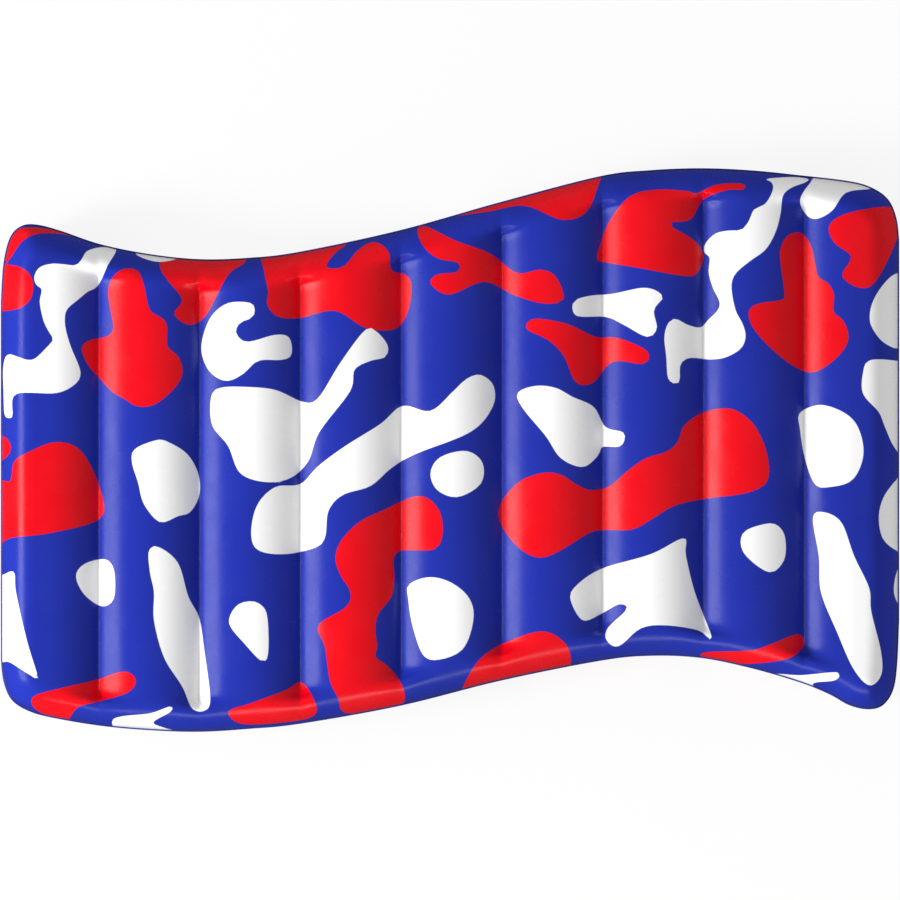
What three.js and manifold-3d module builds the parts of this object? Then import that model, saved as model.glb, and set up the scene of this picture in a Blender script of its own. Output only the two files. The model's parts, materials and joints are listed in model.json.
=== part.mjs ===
// A towable inflatable mat. Nine air channels lie side by side between a top and a bottom skin, and
// eight inner webs tie the skins together along the creases. The plan is a slow S: both long edges
// swing the same way, so two corners are blunt and two are sharp. A screw valve sits low in the left
// end, and a D-ring hangs under the front edge for the tow rope.
// Millimetres, +Z up, +X along the mat, +Y to the back edge. The origin is on the floor, below the
// middle of the plan.

import * as THREE from 'three';
import { mergeVertices } from 'three/addons/utils/BufferGeometryUtils.js';
import Module from 'manifold-3d';

const wasm = await Module();
wasm.setup();

// ---- Driving dimensions ----

const CREST = 100;           // half the thickness of the mat at the top of a channel
const WEB_HALF = 62;         // half the height of a web, so half the thickness at a crease
const CREST_CUT = 1.4;       // a channel's arc is cut off this far down, where it lies flat
const FILM = 0.9;            // thickness of the vinyl skins and webs
const MID = CREST;           // height of the perimeter seam above the floor

const PITCH = 201.4;         // from one crease to the next
const CREASES = 8;
const CREASE_CENTRE = 2;     // X of the middle of the row of creases

const ROLL = 100;            // radius of the roll that closes the mat all the way round
const CREASE_START = 32;     // a crease starts to sink this far in from the edge ...
const CREASE_FULL = 62;      // ... and is fully sunk this far in
const WEB_END = 67;          // a web stops this far short of the long edges, so air can pass

const GAP = 0.3;             // clearance between touching pieces
const SEAM_HALF = 1;         // half the thickness of the welded seam
const SEAM_OUT = 3;          // the seam stands out past the skins by this much
const SEAM_IN = 7;           // and reaches in between them by this much

const END_X = 896;           // the two ends are straight, at X = -END_X and X = END_X

// The skins' long edges from left to right, as points on a smooth curve.
const BACK_EDGE = [
  [-896, 296], [-891, 372], [-878, 424], [-856, 446], [-826, 448], [-780, 436], [-700, 409],
  [-600, 389], [-500, 379], [-400, 382], [-300, 394], [-100, 437], [100, 493], [300, 545],
  [400, 557], [500, 561], [600, 557], [700, 547], [800, 535], [846, 521], [876, 498],
  [891, 462], [896, 420],
];
const FRONT_EDGE = [
  [-896, -420], [-891, -462], [-876, -497], [-846, -518], [-800, -532], [-700, -549],
  [-600, -558], [-500, -561], [-400, -555], [-300, -545], [-100, -509], [100, -459], [300, -419],
  [400, -409], [500, -413], [600, -433], [700, -462], [760, -486], [800, -508], [836, -516],
  [864, -509], [884, -480], [892, -430], [896, -340],
];

const SKIN_BLUE = 0x3340bf;
const WHITE_VINYL = 0xe9ebf0;
const VALVE_GREY = 0xd5d7db;
const RUBBER_BLACK = 0x1c1d20;
const WEBBING_BLACK = 0x202226;
const STEEL = 0xc4c7cc;

// ---- Shared helpers ----

function named(name, geometry, color, roughness, metalness = 0) {
  const material = new THREE.MeshStandardMaterial({ color, roughness, metalness });
  const mesh = new THREE.Mesh(geometry, material);
  mesh.name = name;
  return mesh;
}

// A closed mesh with only positions, its shared vertices merged.
function bare(geometry) {
  const copy = geometry.clone();
  copy.deleteAttribute('normal');
  copy.deleteAttribute('uv');
  return mergeVertices(copy, 1e-4);
}

function toSolid(geometry) {
  const merged = bare(geometry);
  const vertProperties = new Float32Array(merged.attributes.position.array);
  const triVerts = new Uint32Array(merged.index.array);
  return new wasm.Manifold(new wasm.Mesh({ numProp: 3, vertProperties, triVerts }));
}

function fromSolid(solid) {
  const mesh = solid.getMesh();
  const geometry = new THREE.BufferGeometry();
  geometry.setAttribute('position', new THREE.BufferAttribute(mesh.vertProperties, 3));
  geometry.setIndex(new THREE.BufferAttribute(mesh.triVerts, 1));
  return geometry;
}

function smoothstep(low, high, value) {
  const t = THREE.MathUtils.clamp((value - low) / (high - low), 0, 1);
  return t * t * (3 - 2 * t);
}

// A body turned about Z. The profile holds [radius, z] points, bottom outwards, then up and in.
// A profile that doesn't start on the axis is closed on itself.
function turned(profile, segments = 24) {
  const points = profile.map(([r, z]) => new THREE.Vector2(r, z));
  if (profile[0][0] > 0) points.push(points[0].clone());
  return new THREE.LatheGeometry(points, segments).rotateX(Math.PI / 2);
}

// ---- Plan outline ----

function edgeCurve(points) {
  const curve = new THREE.SplineCurve(points.map(([x, y]) => new THREE.Vector2(x, y)));
  return curve.getPoints(points.length * 8);
}

const backCurve = edgeCurve(BACK_EDGE);
const frontCurve = edgeCurve(FRONT_EDGE);
const outline = [...frontCurve, ...backCurve.slice().reverse()];

// The curve's Y at a given X.
function edgeAt(curve, x) {
  let i = 1;
  while (i < curve.length - 1 && curve[i].x < x) i += 1;
  const [a, b] = [curve[i - 1], curve[i]];
  const t = THREE.MathUtils.clamp((x - a.x) / Math.max(b.x - a.x, 1e-6), 0, 1);
  return a.y + (b.y - a.y) * t;
}

// How far a point is from the skins' outline.
function edgeDistance(x, y) {
  let best = Infinity;
  outline.forEach((a, i) => {
    const b = outline[(i + 1) % outline.length];
    const [dx, dy] = [b.x - a.x, b.y - a.y];
    const length = Math.max(dx * dx + dy * dy, 1e-9);
    const t = THREE.MathUtils.clamp(((x - a.x) * dx + (y - a.y) * dy) / length, 0, 1);
    best = Math.min(best, Math.hypot(x - a.x - dx * t, y - a.y - dy * t));
  });
  return best;
}

// ---- The mat's section ----

function creaseX(index) {
  return CREASE_CENTRE + (index - (CREASES + 1) / 2) * PITCH;
}

// Half the thickness across the channels: an arc between two creases, flat where it lies.
const ARC_RISE = CREST - WEB_HALF + CREST_CUT;
const ARC_RADIUS = ((PITCH / 2) ** 2 + ARC_RISE ** 2) / (2 * ARC_RISE);

function channelHeight(x) {
  const first = creaseX(1);
  const last = creaseX(CREASES);
  if (x < first - PITCH / 2 || x > last + PITCH / 2) return CREST;
  const steps = (x - first) / PITCH;
  const fromCrest = Math.abs(steps - Math.floor(steps) - 0.5) * PITCH;
  const arc = WEB_HALF + ARC_RISE - ARC_RADIUS + Math.sqrt(ARC_RADIUS ** 2 - fromCrest ** 2);
  return Math.min(CREST, arc);
}

// Half the thickness at a point: the edge roll, with the creases let into it.
function halfThickness(x, y) {
  const inwards = edgeDistance(x, y);
  const t = Math.min(inwards / ROLL, 1);
  const rim = SEAM_HALF + GAP;
  const roll = rim + (CREST - rim) * Math.sqrt(Math.max(0, 1 - (1 - t) ** 2));
  const sunk = smoothstep(CREASE_START, CREASE_FULL, inwards);
  return roll - sunk * Math.max(0, roll - channelHeight(x));
}

// ---- Skins ----

const END_STEPS = [0, 6, 18, 36, 60, 84];    // columns in from each end
const EDGE_STEPS = [0, 6, 22, 60, 100];      // rows in from each long edge
const MIDDLE_ROWS = 2;
const CHANNEL_STEPS = 5;                     // facets across one channel

function skinColumns() {
  const step = PITCH / CHANNEL_STEPS;
  const columns = END_STEPS.map((inwards) => -END_X + inwards);
  columns.push(creaseX(1) - 2 * step, creaseX(1) - step);
  for (let i = 0; i <= (CREASES - 1) * CHANNEL_STEPS; i += 1) columns.push(creaseX(1) + i * step);
  columns.push(creaseX(CREASES) + step, creaseX(CREASES) + 2 * step);
  columns.push(...END_STEPS.slice().reverse().map((inwards) => END_X - inwards));
  return columns;
}

function skinRows(x) {
  const front = edgeAt(frontCurve, x);
  const back = edgeAt(backCurve, x);
  const inner = EDGE_STEPS.at(-1);
  const rows = EDGE_STEPS.map((inwards) => front + inwards);
  for (let i = 1; i <= MIDDLE_ROWS; i += 1) {
    const t = i / (MIDDLE_ROWS + 1);
    rows.push((front + inner) * (1 - t) + (back - inner) * t);
  }
  rows.push(...EDGE_STEPS.slice().reverse().map((inwards) => back - inwards));
  return rows;
}

// One skin as a closed shell: an outer and an inner sheet, joined round the rim.
// side is 1 for the top skin and -1 for the bottom skin.
function skin(side) {
  const columns = skinColumns();
  const points = [];
  columns.forEach((x, c) => {
    const atEnd = c === 0 || c === columns.length - 1;
    skinRows(x).forEach((y) => {
      const half = atEnd ? SEAM_HALF + GAP : halfThickness(x, y);
      points.push(x, y, MID + side * half);
    });
  });
  const rows = skinRows(0).length;
  const faces = [];
  for (let c = 0; c + 1 < columns.length; c += 1) {
    for (let r = 0; r + 1 < rows; r += 1) {
      const a = c * rows + r;
      const [b, d, e] = [a + rows, a + rows + 1, a + 1];
      faces.push(a, b, d, a, d, e);
    }
  }
  if (side < 0) faces.reverse();

  const outer = new THREE.BufferGeometry();
  outer.setAttribute('position', new THREE.Float32BufferAttribute(points, 3));
  outer.setIndex(faces);
  outer.computeVertexNormals();
  const normals = outer.attributes.normal;

  const rim = [];
  for (let c = 0; c < columns.length; c += 1) rim.push(c * rows);
  for (let r = 1; r < rows; r += 1) rim.push((columns.length - 1) * rows + r);
  for (let c = columns.length - 2; c >= 0; c -= 1) rim.push(c * rows + rows - 1);
  for (let r = rows - 2; r > 0; r -= 1) rim.push(r);

  const onRim = new Set(rim);
  const count = points.length / 3;
  const inner = [];
  for (let i = 0; i < count; i += 1) {
    const normal = new THREE.Vector3().fromBufferAttribute(normals, i);
    if (onRim.has(i)) normal.setZ(0).normalize();
    inner.push(points[3 * i] - normal.x * FILM);
    inner.push(points[3 * i + 1] - normal.y * FILM);
    inner.push(points[3 * i + 2] - normal.z * FILM);
  }
  const all = faces.slice();
  for (let i = 0; i < faces.length; i += 3) {
    all.push(faces[i] + count, faces[i + 2] + count, faces[i + 1] + count);
  }
  rim.forEach((a, i) => {
    const b = rim[(i + 1) % rim.length];
    if (side > 0) all.push(a, b + count, b, a, a + count, b + count);
    else all.push(a, b, b + count, a, b + count, a + count);
  });
  const shell = new THREE.BufferGeometry();
  shell.setAttribute('position', new THREE.Float32BufferAttribute([...points, ...inner], 3));
  shell.setIndex(all);
  return shell;
}

// ---- Perimeter seam ----

// The outline moved out by a distance, or in by a negative one.
function movedOutline(loop, distance) {
  return loop.map((point, i) => {
    const before = loop[(i + loop.length - 1) % loop.length];
    const after = loop[(i + 1) % loop.length];
    const along = after.clone().sub(before).normalize();
    return new THREE.Vector2(point.x + along.y * distance, point.y - along.x * distance);
  });
}

function perimeterSeam() {
  const columns = skinColumns();
  const front = columns.map((x) => new THREE.Vector2(x, edgeAt(frontCurve, x)));
  const back = columns.map((x) => new THREE.Vector2(x, edgeAt(backCurve, x))).reverse();
  const loop = [...front, ...back];
  const shape = new THREE.Shape(movedOutline(loop, SEAM_OUT));
  shape.holes.push(new THREE.Path(movedOutline(loop, -SEAM_IN)));
  const band = new THREE.ExtrudeGeometry(shape, { depth: 2 * SEAM_HALF, bevelEnabled: false });
  return band.translate(0, 0, MID - SEAM_HALF);
}

// ---- Webs ----

const WING = 10;             // each weld wing reaches this far to the side of its web
const WING_SLOPE = 0.62;     // and rises with the skin that it is welded to
const WING_TOP = WEB_HALF - FILM - 0.5;

// A web is a vinyl strip with a pair of weld wings along its top and its bottom.
function web(index) {
  const x = creaseX(index);
  const start = edgeAt(frontCurve, x) + WEB_END;
  const end = edgeAt(backCurve, x) - WEB_END;
  const low = WING_TOP - 1.2 * FILM;
  const right = [
    [FILM / 2, low + WING_SLOPE * FILM / 2],
    [WING, low + WING_SLOPE * WING],
    [WING, WING_TOP + WING_SLOPE * WING],
    [0, WING_TOP],
    [-WING, WING_TOP + WING_SLOPE * WING],
    [-WING, low + WING_SLOPE * WING],
    [-FILM / 2, low + WING_SLOPE * FILM / 2],
  ];
  const upper = right.map(([dx, dz]) => new THREE.Vector2(dx, dz));
  const lower = right.map(([dx, dz]) => new THREE.Vector2(-dx, -dz));
  const section = new THREE.Shape([...upper, ...lower]);
  const strip = new THREE.ExtrudeGeometry(section, { depth: end - start, bevelEnabled: false });
  return strip.rotateX(Math.PI / 2).translate(x, end, MID);
}

// ---- Valve, along its own Z, with Z = 0 at the outside of the skin ----

const VALVE_TILT = 40;       // degrees that the valve points below the horizontal
const VALVE_Y = -60;
const NECK = 17;             // outer radius of the base's neck
const BORE = 14;             // radius of the hole that the insert screws into
const INSERT_BORE = 10.5;    // radius of the hole that the cap screws into

function valveFrame() {
  const tilt = THREE.MathUtils.degToRad(VALVE_TILT);
  const frame = new THREE.Group();
  frame.position.set(
    -END_X + ROLL * (1 - Math.cos(tilt)),
    VALVE_Y,
    MID - SEAM_HALF - GAP - (CREST - SEAM_HALF - GAP) * Math.sin(tilt),
  );
  frame.rotation.y = -(Math.PI / 2 + tilt);
  frame.updateMatrix();
  return frame;
}

function valveBase() {
  return turned([[BORE, -8], [26, -8], [26, -6.5], [NECK, -6.5], [NECK, 6], [BORE, 6]], 32);
}

function insertSeal() {
  return turned([[14.2, 6.3], [NECK, 6.3], [NECK, 7.3], [14.2, 7.3]], 32);
}

// The insert's floor carries the rubber flap and lets air through four holes.
function valveInsert() {
  const barrel = turned([
    [1.6, -6], [13.6, -6], [13.6, 7.6], [NECK, 7.6], [NECK, 10.6],
    [INSERT_BORE, 10.6], [INSERT_BORE, -4.4], [1.6, -4.4],
  ], 32);
  let solid = toSolid(barrel);
  for (let i = 0; i < 4; i += 1) {
    const angle = (i + 0.5) * Math.PI / 2;
    const hole = new THREE.CylinderGeometry(2.6, 2.6, 4, 12).rotateX(Math.PI / 2);
    hole.translate(6 * Math.cos(angle), 6 * Math.sin(angle), -5.2);
    solid = solid.subtract(toSolid(hole));
  }
  return fromSolid(solid);
}

function valveFlap() {
  return turned([
    [0, -7.9], [9.6, -7.9], [9.6, -6.3], [1.2, -6.3], [1.2, -4.1], [2.6, -4.1], [2.2, -2.8],
    [0, -2.4],
  ]);
}

// The ring that the tether ends in, held under the cap's head.
function tetherRing() {
  const ring = turned([[10.5, 10.9], [16.5, 10.9], [16.5, 11.9], [10.5, 11.9]], 32);
  const tab = new THREE.BoxGeometry(5, 5, 1).translate(0, 18, 11.4);
  return fromSolid(toSolid(ring).add(toSolid(tab)));
}

// The tether: a flat strap that leaves the insert's head and folds back to the ring's tab.
function capTether() {
  const bend = 24;
  const strap = new THREE.Shape();
  strap.moveTo(NECK + GAP, 8.5);
  strap.lineTo(bend, 8.5);
  strap.absarc(bend, 10.2, 1.7, -Math.PI / 2, Math.PI / 2, false);
  strap.lineTo(20.8, 11.9);
  strap.lineTo(20.8, 10.9);
  strap.lineTo(bend, 10.9);
  strap.absarc(bend, 10.2, 0.7, Math.PI / 2, -Math.PI / 2, true);
  strap.lineTo(NECK + GAP, 9.5);
  const geometry = new THREE.ExtrudeGeometry(strap, { depth: 5, bevelEnabled: false, curveSegments: 6 });
  return geometry.rotateX(Math.PI / 2).rotateZ(Math.PI / 2).translate(-2.5, 0, 0);
}

function valveCap() {
  const head = turned([
    [0, 13.6], [8.4, 13.6], [8.4, 0.5], [10.1, 0.5], [10.1, 12.2], [18, 12.2], [18, 14.8],
    [17, 16.2], [0, 16.2],
  ], 32);
  const bar = new THREE.BoxGeometry(26, 5, 4).translate(0, 0, 17.2);
  return fromSolid(toSolid(head).add(toSolid(bar)));
}

function valve() {
  const frame = valveFrame();
  frame.add(
    named('valve_base', valveBase(), VALVE_GREY, 0.4),
    named('insert_seal', insertSeal(), RUBBER_BLACK, 0.7),
    named('valve_insert', valveInsert(), VALVE_GREY, 0.4),
    named('valve_flap', valveFlap(), RUBBER_BLACK, 0.7),
    named('tether_ring', tetherRing(), VALVE_GREY, 0.45),
    named('cap_tether', capTether(), VALVE_GREY, 0.45),
    named('valve_cap', valveCap(), VALVE_GREY, 0.4),
  );
  return frame;
}

// The bottom skin has a round hole for the valve's neck.
function bottomSkin() {
  const frame = valveFrame();
  const drill = new THREE.CylinderGeometry(NECK + 0.6, NECK + 0.6, 40, 32).rotateX(Math.PI / 2);
  drill.applyMatrix4(frame.matrix);
  return fromSolid(toSolid(skin(-1)).subtract(toSolid(drill)));
}

// ---- Tow fitting, in a frame whose X runs along the front edge and whose -Y points out ----

const TOW_X = CREASE_CENTRE;
const RING_WIRE = 2.5;       // radius of the ring's wire
const RING_HALF = 21;        // half the width of the ring, between wire centres
const RING_SIDE = 10;        // length of the straight sides of the D
const EYE_ANGLE = 24;        // degrees below the horizontal at which the ring's bar lies
const EYE_OUT = 6.7;         // from the skin out to the middle of the bar
const PATCH_TOP = 1.6;       // the patch's outer face, out from the skin
const STRAP_LOW = 2;         // the strap's inner and outer faces, out from the skin
const STRAP_HIGH = 4.6;
const EYE_HOLE = 3.1;
const EYE_WALL = 1.5;

// A point of the edge roll's underside: degrees below the horizontal, and distance out of the skin.
function onRoll(degrees, out) {
  const angle = THREE.MathUtils.degToRad(degrees);
  const rim = SEAM_HALF + GAP;
  const y = ROLL - (ROLL + out) * Math.cos(angle);
  const z = -rim - (CREST - rim + out) * Math.sin(angle);
  return new THREE.Vector2(y, z);
}

function arcOnRoll(from, to, out, steps) {
  const points = [];
  for (let i = 0; i <= steps; i += 1) points.push(onRoll(from + (to - from) * i / steps, out));
  return points;
}

// A flat outline of [Y, Z] points drawn along the front edge, centred on the fitting.
function alongEdge(shape, width) {
  const geometry = new THREE.ExtrudeGeometry(shape, { depth: width, bevelEnabled: false });
  const turn = new THREE.Matrix4().makeBasis(
    new THREE.Vector3(0, 1, 0),
    new THREE.Vector3(0, 0, 1),
    new THREE.Vector3(1, 0, 0),
  );
  return geometry.applyMatrix4(turn).translate(-width / 2, 0, 0);
}

function towPatch() {
  const inner = arcOnRoll(13, 63, 0.4, 10);
  const outer = arcOnRoll(63, 13, PATCH_TOP, 10);
  return alongEdge(new THREE.Shape([...inner, ...outer]), 74);
}

// The webbing strap, folded round the ring's bar and sewn down on the patch.
function towLoop() {
  const eye = onRoll(EYE_ANGLE, EYE_OUT);
  const legInner = arcOnRoll(60, 30, STRAP_LOW, 6);
  const legOuter = arcOnRoll(30, 60, STRAP_HIGH, 6);
  const radius = EYE_HOLE + EYE_WALL;
  const start = legInner.at(-1).clone().sub(eye).angle();
  const finish = legOuter[0].clone().sub(eye).angle();
  const shape = new THREE.Shape();
  legInner.forEach((p, i) => (i ? shape.lineTo(p.x, p.y) : shape.moveTo(p.x, p.y)));
  shape.absarc(eye.x, eye.y, radius, start, finish, false);
  legOuter.forEach((p) => shape.lineTo(p.x, p.y));
  const hole = new THREE.Path();
  hole.absarc(eye.x, eye.y, EYE_HOLE, 0, 2 * Math.PI, true);
  shape.holes.push(hole);
  return alongEdge(shape, 34);
}

// The D-ring's centre line, hanging straight down from its bar.
function ringLine() {
  const points = [];
  for (let i = 0; i <= 8; i += 1) points.push([RING_HALF * (1 - i / 4), 0]);
  points.push([-RING_HALF, -RING_SIDE / 2]);
  for (let i = 0; i <= 12; i += 1) {
    const angle = Math.PI + Math.PI * i / 12;
    points.push([RING_HALF * Math.cos(angle), -RING_SIDE + RING_HALF * Math.sin(angle)]);
  }
  points.push([RING_HALF, -RING_SIDE / 2]);
  return points.map(([x, z]) => new THREE.Vector3(x, 0, z));
}

// Round wire swept along a closed line in the XZ plane.
function wireLoop(line, radius, sides) {
  const points = [];
  const faces = [];
  line.forEach((centre, i) => {
    const before = line[(i + line.length - 1) % line.length];
    const after = line[(i + 1) % line.length];
    const inwards = centre.clone().sub(before).normalize();
    const onwards = after.clone().sub(centre).normalize();
    const along = inwards.clone().add(onwards).normalize();
    const outwards = new THREE.Vector3(along.z, 0, -along.x);
    const stretch = 1 / Math.max(0.5, along.dot(onwards));
    for (let k = 0; k < sides; k += 1) {
      const angle = 2 * Math.PI * k / sides;
      const point = centre.clone().addScaledVector(outwards, radius * stretch * Math.cos(angle));
      points.push(point.x, point.y + radius * Math.sin(angle), point.z);
      const a = i * sides + k;
      const b = i * sides + (k + 1) % sides;
      const c = ((i + 1) % line.length) * sides;
      faces.push(a, b, c + k, b, c + (k + 1) % sides, c + k);
    }
  });
  const geometry = new THREE.BufferGeometry();
  geometry.setAttribute('position', new THREE.Float32BufferAttribute(points, 3));
  geometry.setIndex(faces);
  return geometry;
}

function towFitting() {
  const step = 20;
  const rise = edgeAt(frontCurve, TOW_X + step) - edgeAt(frontCurve, TOW_X - step);
  const frame = new THREE.Group();
  frame.position.set(TOW_X, edgeAt(frontCurve, TOW_X), MID);
  frame.rotation.z = Math.atan2(rise, 2 * step);
  const eye = onRoll(EYE_ANGLE, EYE_OUT);
  const ring = wireLoop(ringLine(), RING_WIRE, 8);
  ring.translate(0, eye.x, eye.y);
  frame.add(
    named('tow_patch', towPatch(), SKIN_BLUE, 0.35),
    named('tow_loop', towLoop(), WEBBING_BLACK, 0.9),
    named('tow_ring', ring, STEEL, 0.25, 1),
  );
  return frame;
}

// ---- Assembly ----

const mat = new THREE.Group();
mat.add(
  named('top_skin', skin(1), SKIN_BLUE, 0.3),
  named('bottom_skin', bottomSkin(), SKIN_BLUE, 0.3),
  named('perimeter_seam', perimeterSeam(), SKIN_BLUE, 0.4),
);
for (let i = 1; i <= CREASES; i += 1) mat.add(named(`web_${i}`, web(i), WHITE_VINYL, 0.5));
mat.add(valve(), towFitting());

export default mat;
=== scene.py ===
"""Looks of a towable inflatable mat, built round its fixed CAD frame.

Two sheets of printed vinyl are welded round their edge and held together by eight inner webs. Pumped
up, they make nine channels with a roll all the way round. A screw valve sits low in the left end, and
a D-ring hangs under the front edge in a webbing loop. Metres, +Z up, +X along the mat, +Y to the back.
"""

import json
import logging
import math
from collections.abc import Iterator, Sequence
from contextlib import contextmanager
from dataclasses import dataclass, field
from enum import Enum

import bpy
import numpy as np
from mathutils import Matrix, Vector


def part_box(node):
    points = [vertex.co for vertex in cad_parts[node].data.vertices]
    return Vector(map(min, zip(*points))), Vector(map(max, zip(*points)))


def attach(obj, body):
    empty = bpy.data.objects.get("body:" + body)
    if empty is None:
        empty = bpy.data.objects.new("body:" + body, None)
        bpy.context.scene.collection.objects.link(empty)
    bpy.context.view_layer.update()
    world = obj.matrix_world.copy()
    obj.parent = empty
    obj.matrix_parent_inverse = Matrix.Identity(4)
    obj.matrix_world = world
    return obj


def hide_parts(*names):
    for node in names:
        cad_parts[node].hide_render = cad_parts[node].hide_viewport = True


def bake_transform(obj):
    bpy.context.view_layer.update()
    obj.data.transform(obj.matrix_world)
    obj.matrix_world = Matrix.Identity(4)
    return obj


LOG = logging.getLogger("mat")
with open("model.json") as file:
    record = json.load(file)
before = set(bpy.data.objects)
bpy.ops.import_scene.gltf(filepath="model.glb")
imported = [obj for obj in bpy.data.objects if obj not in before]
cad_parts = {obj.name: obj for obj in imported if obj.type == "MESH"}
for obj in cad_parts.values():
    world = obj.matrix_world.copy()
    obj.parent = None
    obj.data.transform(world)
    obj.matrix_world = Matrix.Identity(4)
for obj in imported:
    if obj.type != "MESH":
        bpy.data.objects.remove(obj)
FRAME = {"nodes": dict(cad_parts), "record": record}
MM = 0.001
WEB_HALF_HEIGHT = 62 * MM
VALVE_HOLE_RADIUS = 17.6 * MM
FILM_IOR = 1.53
UP = Vector((0, 0, 1))
WEBS = [f"web_{i}" for i in range(1, 9)]

# Outlines are "x y" points in millimetres on a smooth curve, from the middle of the plan.
BACK_EDGE = (
    "-896 296, -891 372, -878 424, -856 446, -826 448, -780 436, -700 409, -600 389, -500 379, "
    "-400 382, -300 394, -100 437, 100 493, 300 545, 400 557, 500 561, 600 557, 700 547, 800 535, "
    "846 521, 876 498, 891 462, 896 420"
)
FRONT_EDGE = (
    "-896 -420, -891 -462, -876 -497, -846 -518, -800 -532, -700 -549, -600 -558, -500 -561, "
    "-400 -555, -300 -545, -100 -509, 100 -459, 300 -419, 400 -409, 500 -413, 600 -433, 700 -462, "
    "760 -486, 800 -508, 836 -516, 864 -509, 884 -480, 892 -430, 896 -340"
)
WHITE_PATCHES = (
    (
        "-668 400, -692 406, -724 398, -736 380, -748 369, -772 371, -796 372, -820 364, -830 346, "
        "-826 330, -815 320, -819 296, -812 260, -802 238, -793 221, -806 204, -828 183, -844 180, "
        "-863 186, -881 191, -890 182, -894 158, -893 122, -891 74, -883 64, -874 68, -875 88, "
        "-873 106, -858 114, -828 114, -792 113, -766 120, -744 136, -738 152, -742 170, -757 206, "
        "-767 240, -769 266, -763 283, -743 300, -724 316, -704 328, -684 368"
    ),
    "-629 394, -609 382, -579 376, -545 384, -559 400, -609 408",
    (
        "-419 296, -393 290, -393 266, -419 254, -427 234, -405 216, -349 230, -321 224, -317 190, "
        "-337 180, -383 178, -413 152, -447 138, -481 158, -497 204, -481 260, -451 290"
    ),
    (
        "-459 124, -477 106, -475 50, -443 8, -419 -46, -369 -64, -319 -56, -283 -22, -261 36, "
        "-199 118, -191 160, -159 178, -129 186, -125 210, -149 238, -171 238, -219 174, -263 104, "
        "-293 96, -349 120, -409 126"
    ),
    (
        "61 150, 87 128, 85 86, 41 36, -69 -8, -117 -36, -159 -72, -215 -90, -243 -122, -249 -172, "
        "-267 -194, -329 -208, -383 -200, -397 -166, -385 -110, -349 -74, -299 -68, -263 -32, "
        "-209 8, -139 52, -95 88, -39 78, 5 116, 33 142"
    ),
    (
        "-585 20, -629 2, -635 -24, -623 -64, -611 -108, -579 -144, -543 -132, -519 -124, -501 -90, "
        "-503 -48, -525 -8, -563 16"
    ),
    "-693 -218, -731 -228, -747 -252, -731 -288, -697 -312, -673 -300, -669 -260, -675 -230",
    (
        "-581 -194, -601 -200, -599 -244, -591 -284, -591 -340, -571 -414, -535 -472, -515 -516, "
        "-489 -520, -479 -496, -491 -400, -501 -336, -523 -292, -543 -226"
    ),
    "-401 -302, -427 -312, -441 -346, -409 -388, -375 -422, -363 -404, -365 -332, -379 -308",
    "-895 -250, -871 -244, -867 -284, -845 -380, -823 -454, -837 -450, -879 -424, -911 -410, -911 -252",
    (
        "-675 -542, -655 -532, -599 -526, -559 -512, -557 -522, -593 -544, -569 -556, -545 -566, "
        "-599 -584, -663 -568"
    ),
    "33 -2, -19 -14, -39 -46, -25 -80, 15 -94, 61 -68, 65 -26",
    "-43 -254, -83 -270, -83 -300, -75 -350, -53 -410, -19 -418, 27 -396, 47 -336, 37 -294, 1 -264",
    (
        "171 128, 135 114, 145 84, 191 28, 221 -16, 265 -34, 295 -12, 305 6, 341 8, 347 34, 311 46, "
        "287 86, 245 106, 211 124"
    ),
    "279 308, 247 296, 253 268, 311 266, 347 250, 393 226, 413 242, 407 280, 425 306, 391 324, 325 312",
    (
        "631 541, 650 544, 690 546, 716 542, 710 535, 682 524, 665 508, 660 472, 650 435, 630 400, "
        "600 378, 570 352, 562 325, 570 280, 585 250, 590 225, 580 202, 550 185, 520 181, 490 184, "
        "472 182, 460 170, 459 145, 457 135, 447 133, 435 145, 432 185, 428 225, 435 252, 450 262, "
        "475 250, 500 245, 515 259, 539 288, 525 325, 517 355, 519 384, 508 395, 510 412, 530 432, "
        "555 438, 582 440, 597 458, 607 480, 630 492, 645 520, 642 535"
    ),
    "717 530, 745 552, 833 544, 845 524, 791 514, 761 476, 723 462, 699 496",
    "912 355, 896 354, 878 344, 856 318, 842 290, 838 266, 842 246, 860 220, 884 205, 898 204, 912 206",
    "912 177, 896 178, 860 181, 836 178, 826 162, 824 114, 856 76, 868 48, 888 6, 912 -4",
    "741 90, 699 74, 699 44, 709 -16, 729 -68, 757 -74, 803 -60, 825 -12, 817 40, 791 72",
    "627 -148, 585 -166, 587 -206, 637 -244, 667 -220, 669 -174, 653 -150",
    (
        "745 -124, 725 -136, 737 -214, 741 -284, 773 -364, 805 -436, 837 -470, 861 -450, 861 -404, "
        "841 -322, 837 -276, 807 -212, 781 -144"
    ),
    "913 -56, 875 -80, 857 -124, 863 -174, 891 -200, 913 -200",
    "913 -232, 895 -240, 887 -280, 897 -308, 913 -312",
    (
        "467 -176, 401 -208, 301 -238, 249 -274, 241 -300, 265 -340, 301 -328, 337 -308, 353 -318, "
        "315 -356, 313 -380, 337 -392, 381 -356, 431 -350, 495 -360, 523 -376, 489 -284, 471 -210"
    ),
    "651 -448, 701 -450, 773 -444, 769 -460, 725 -468, 767 -500, 731 -510, 671 -480, 621 -460",
)
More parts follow.
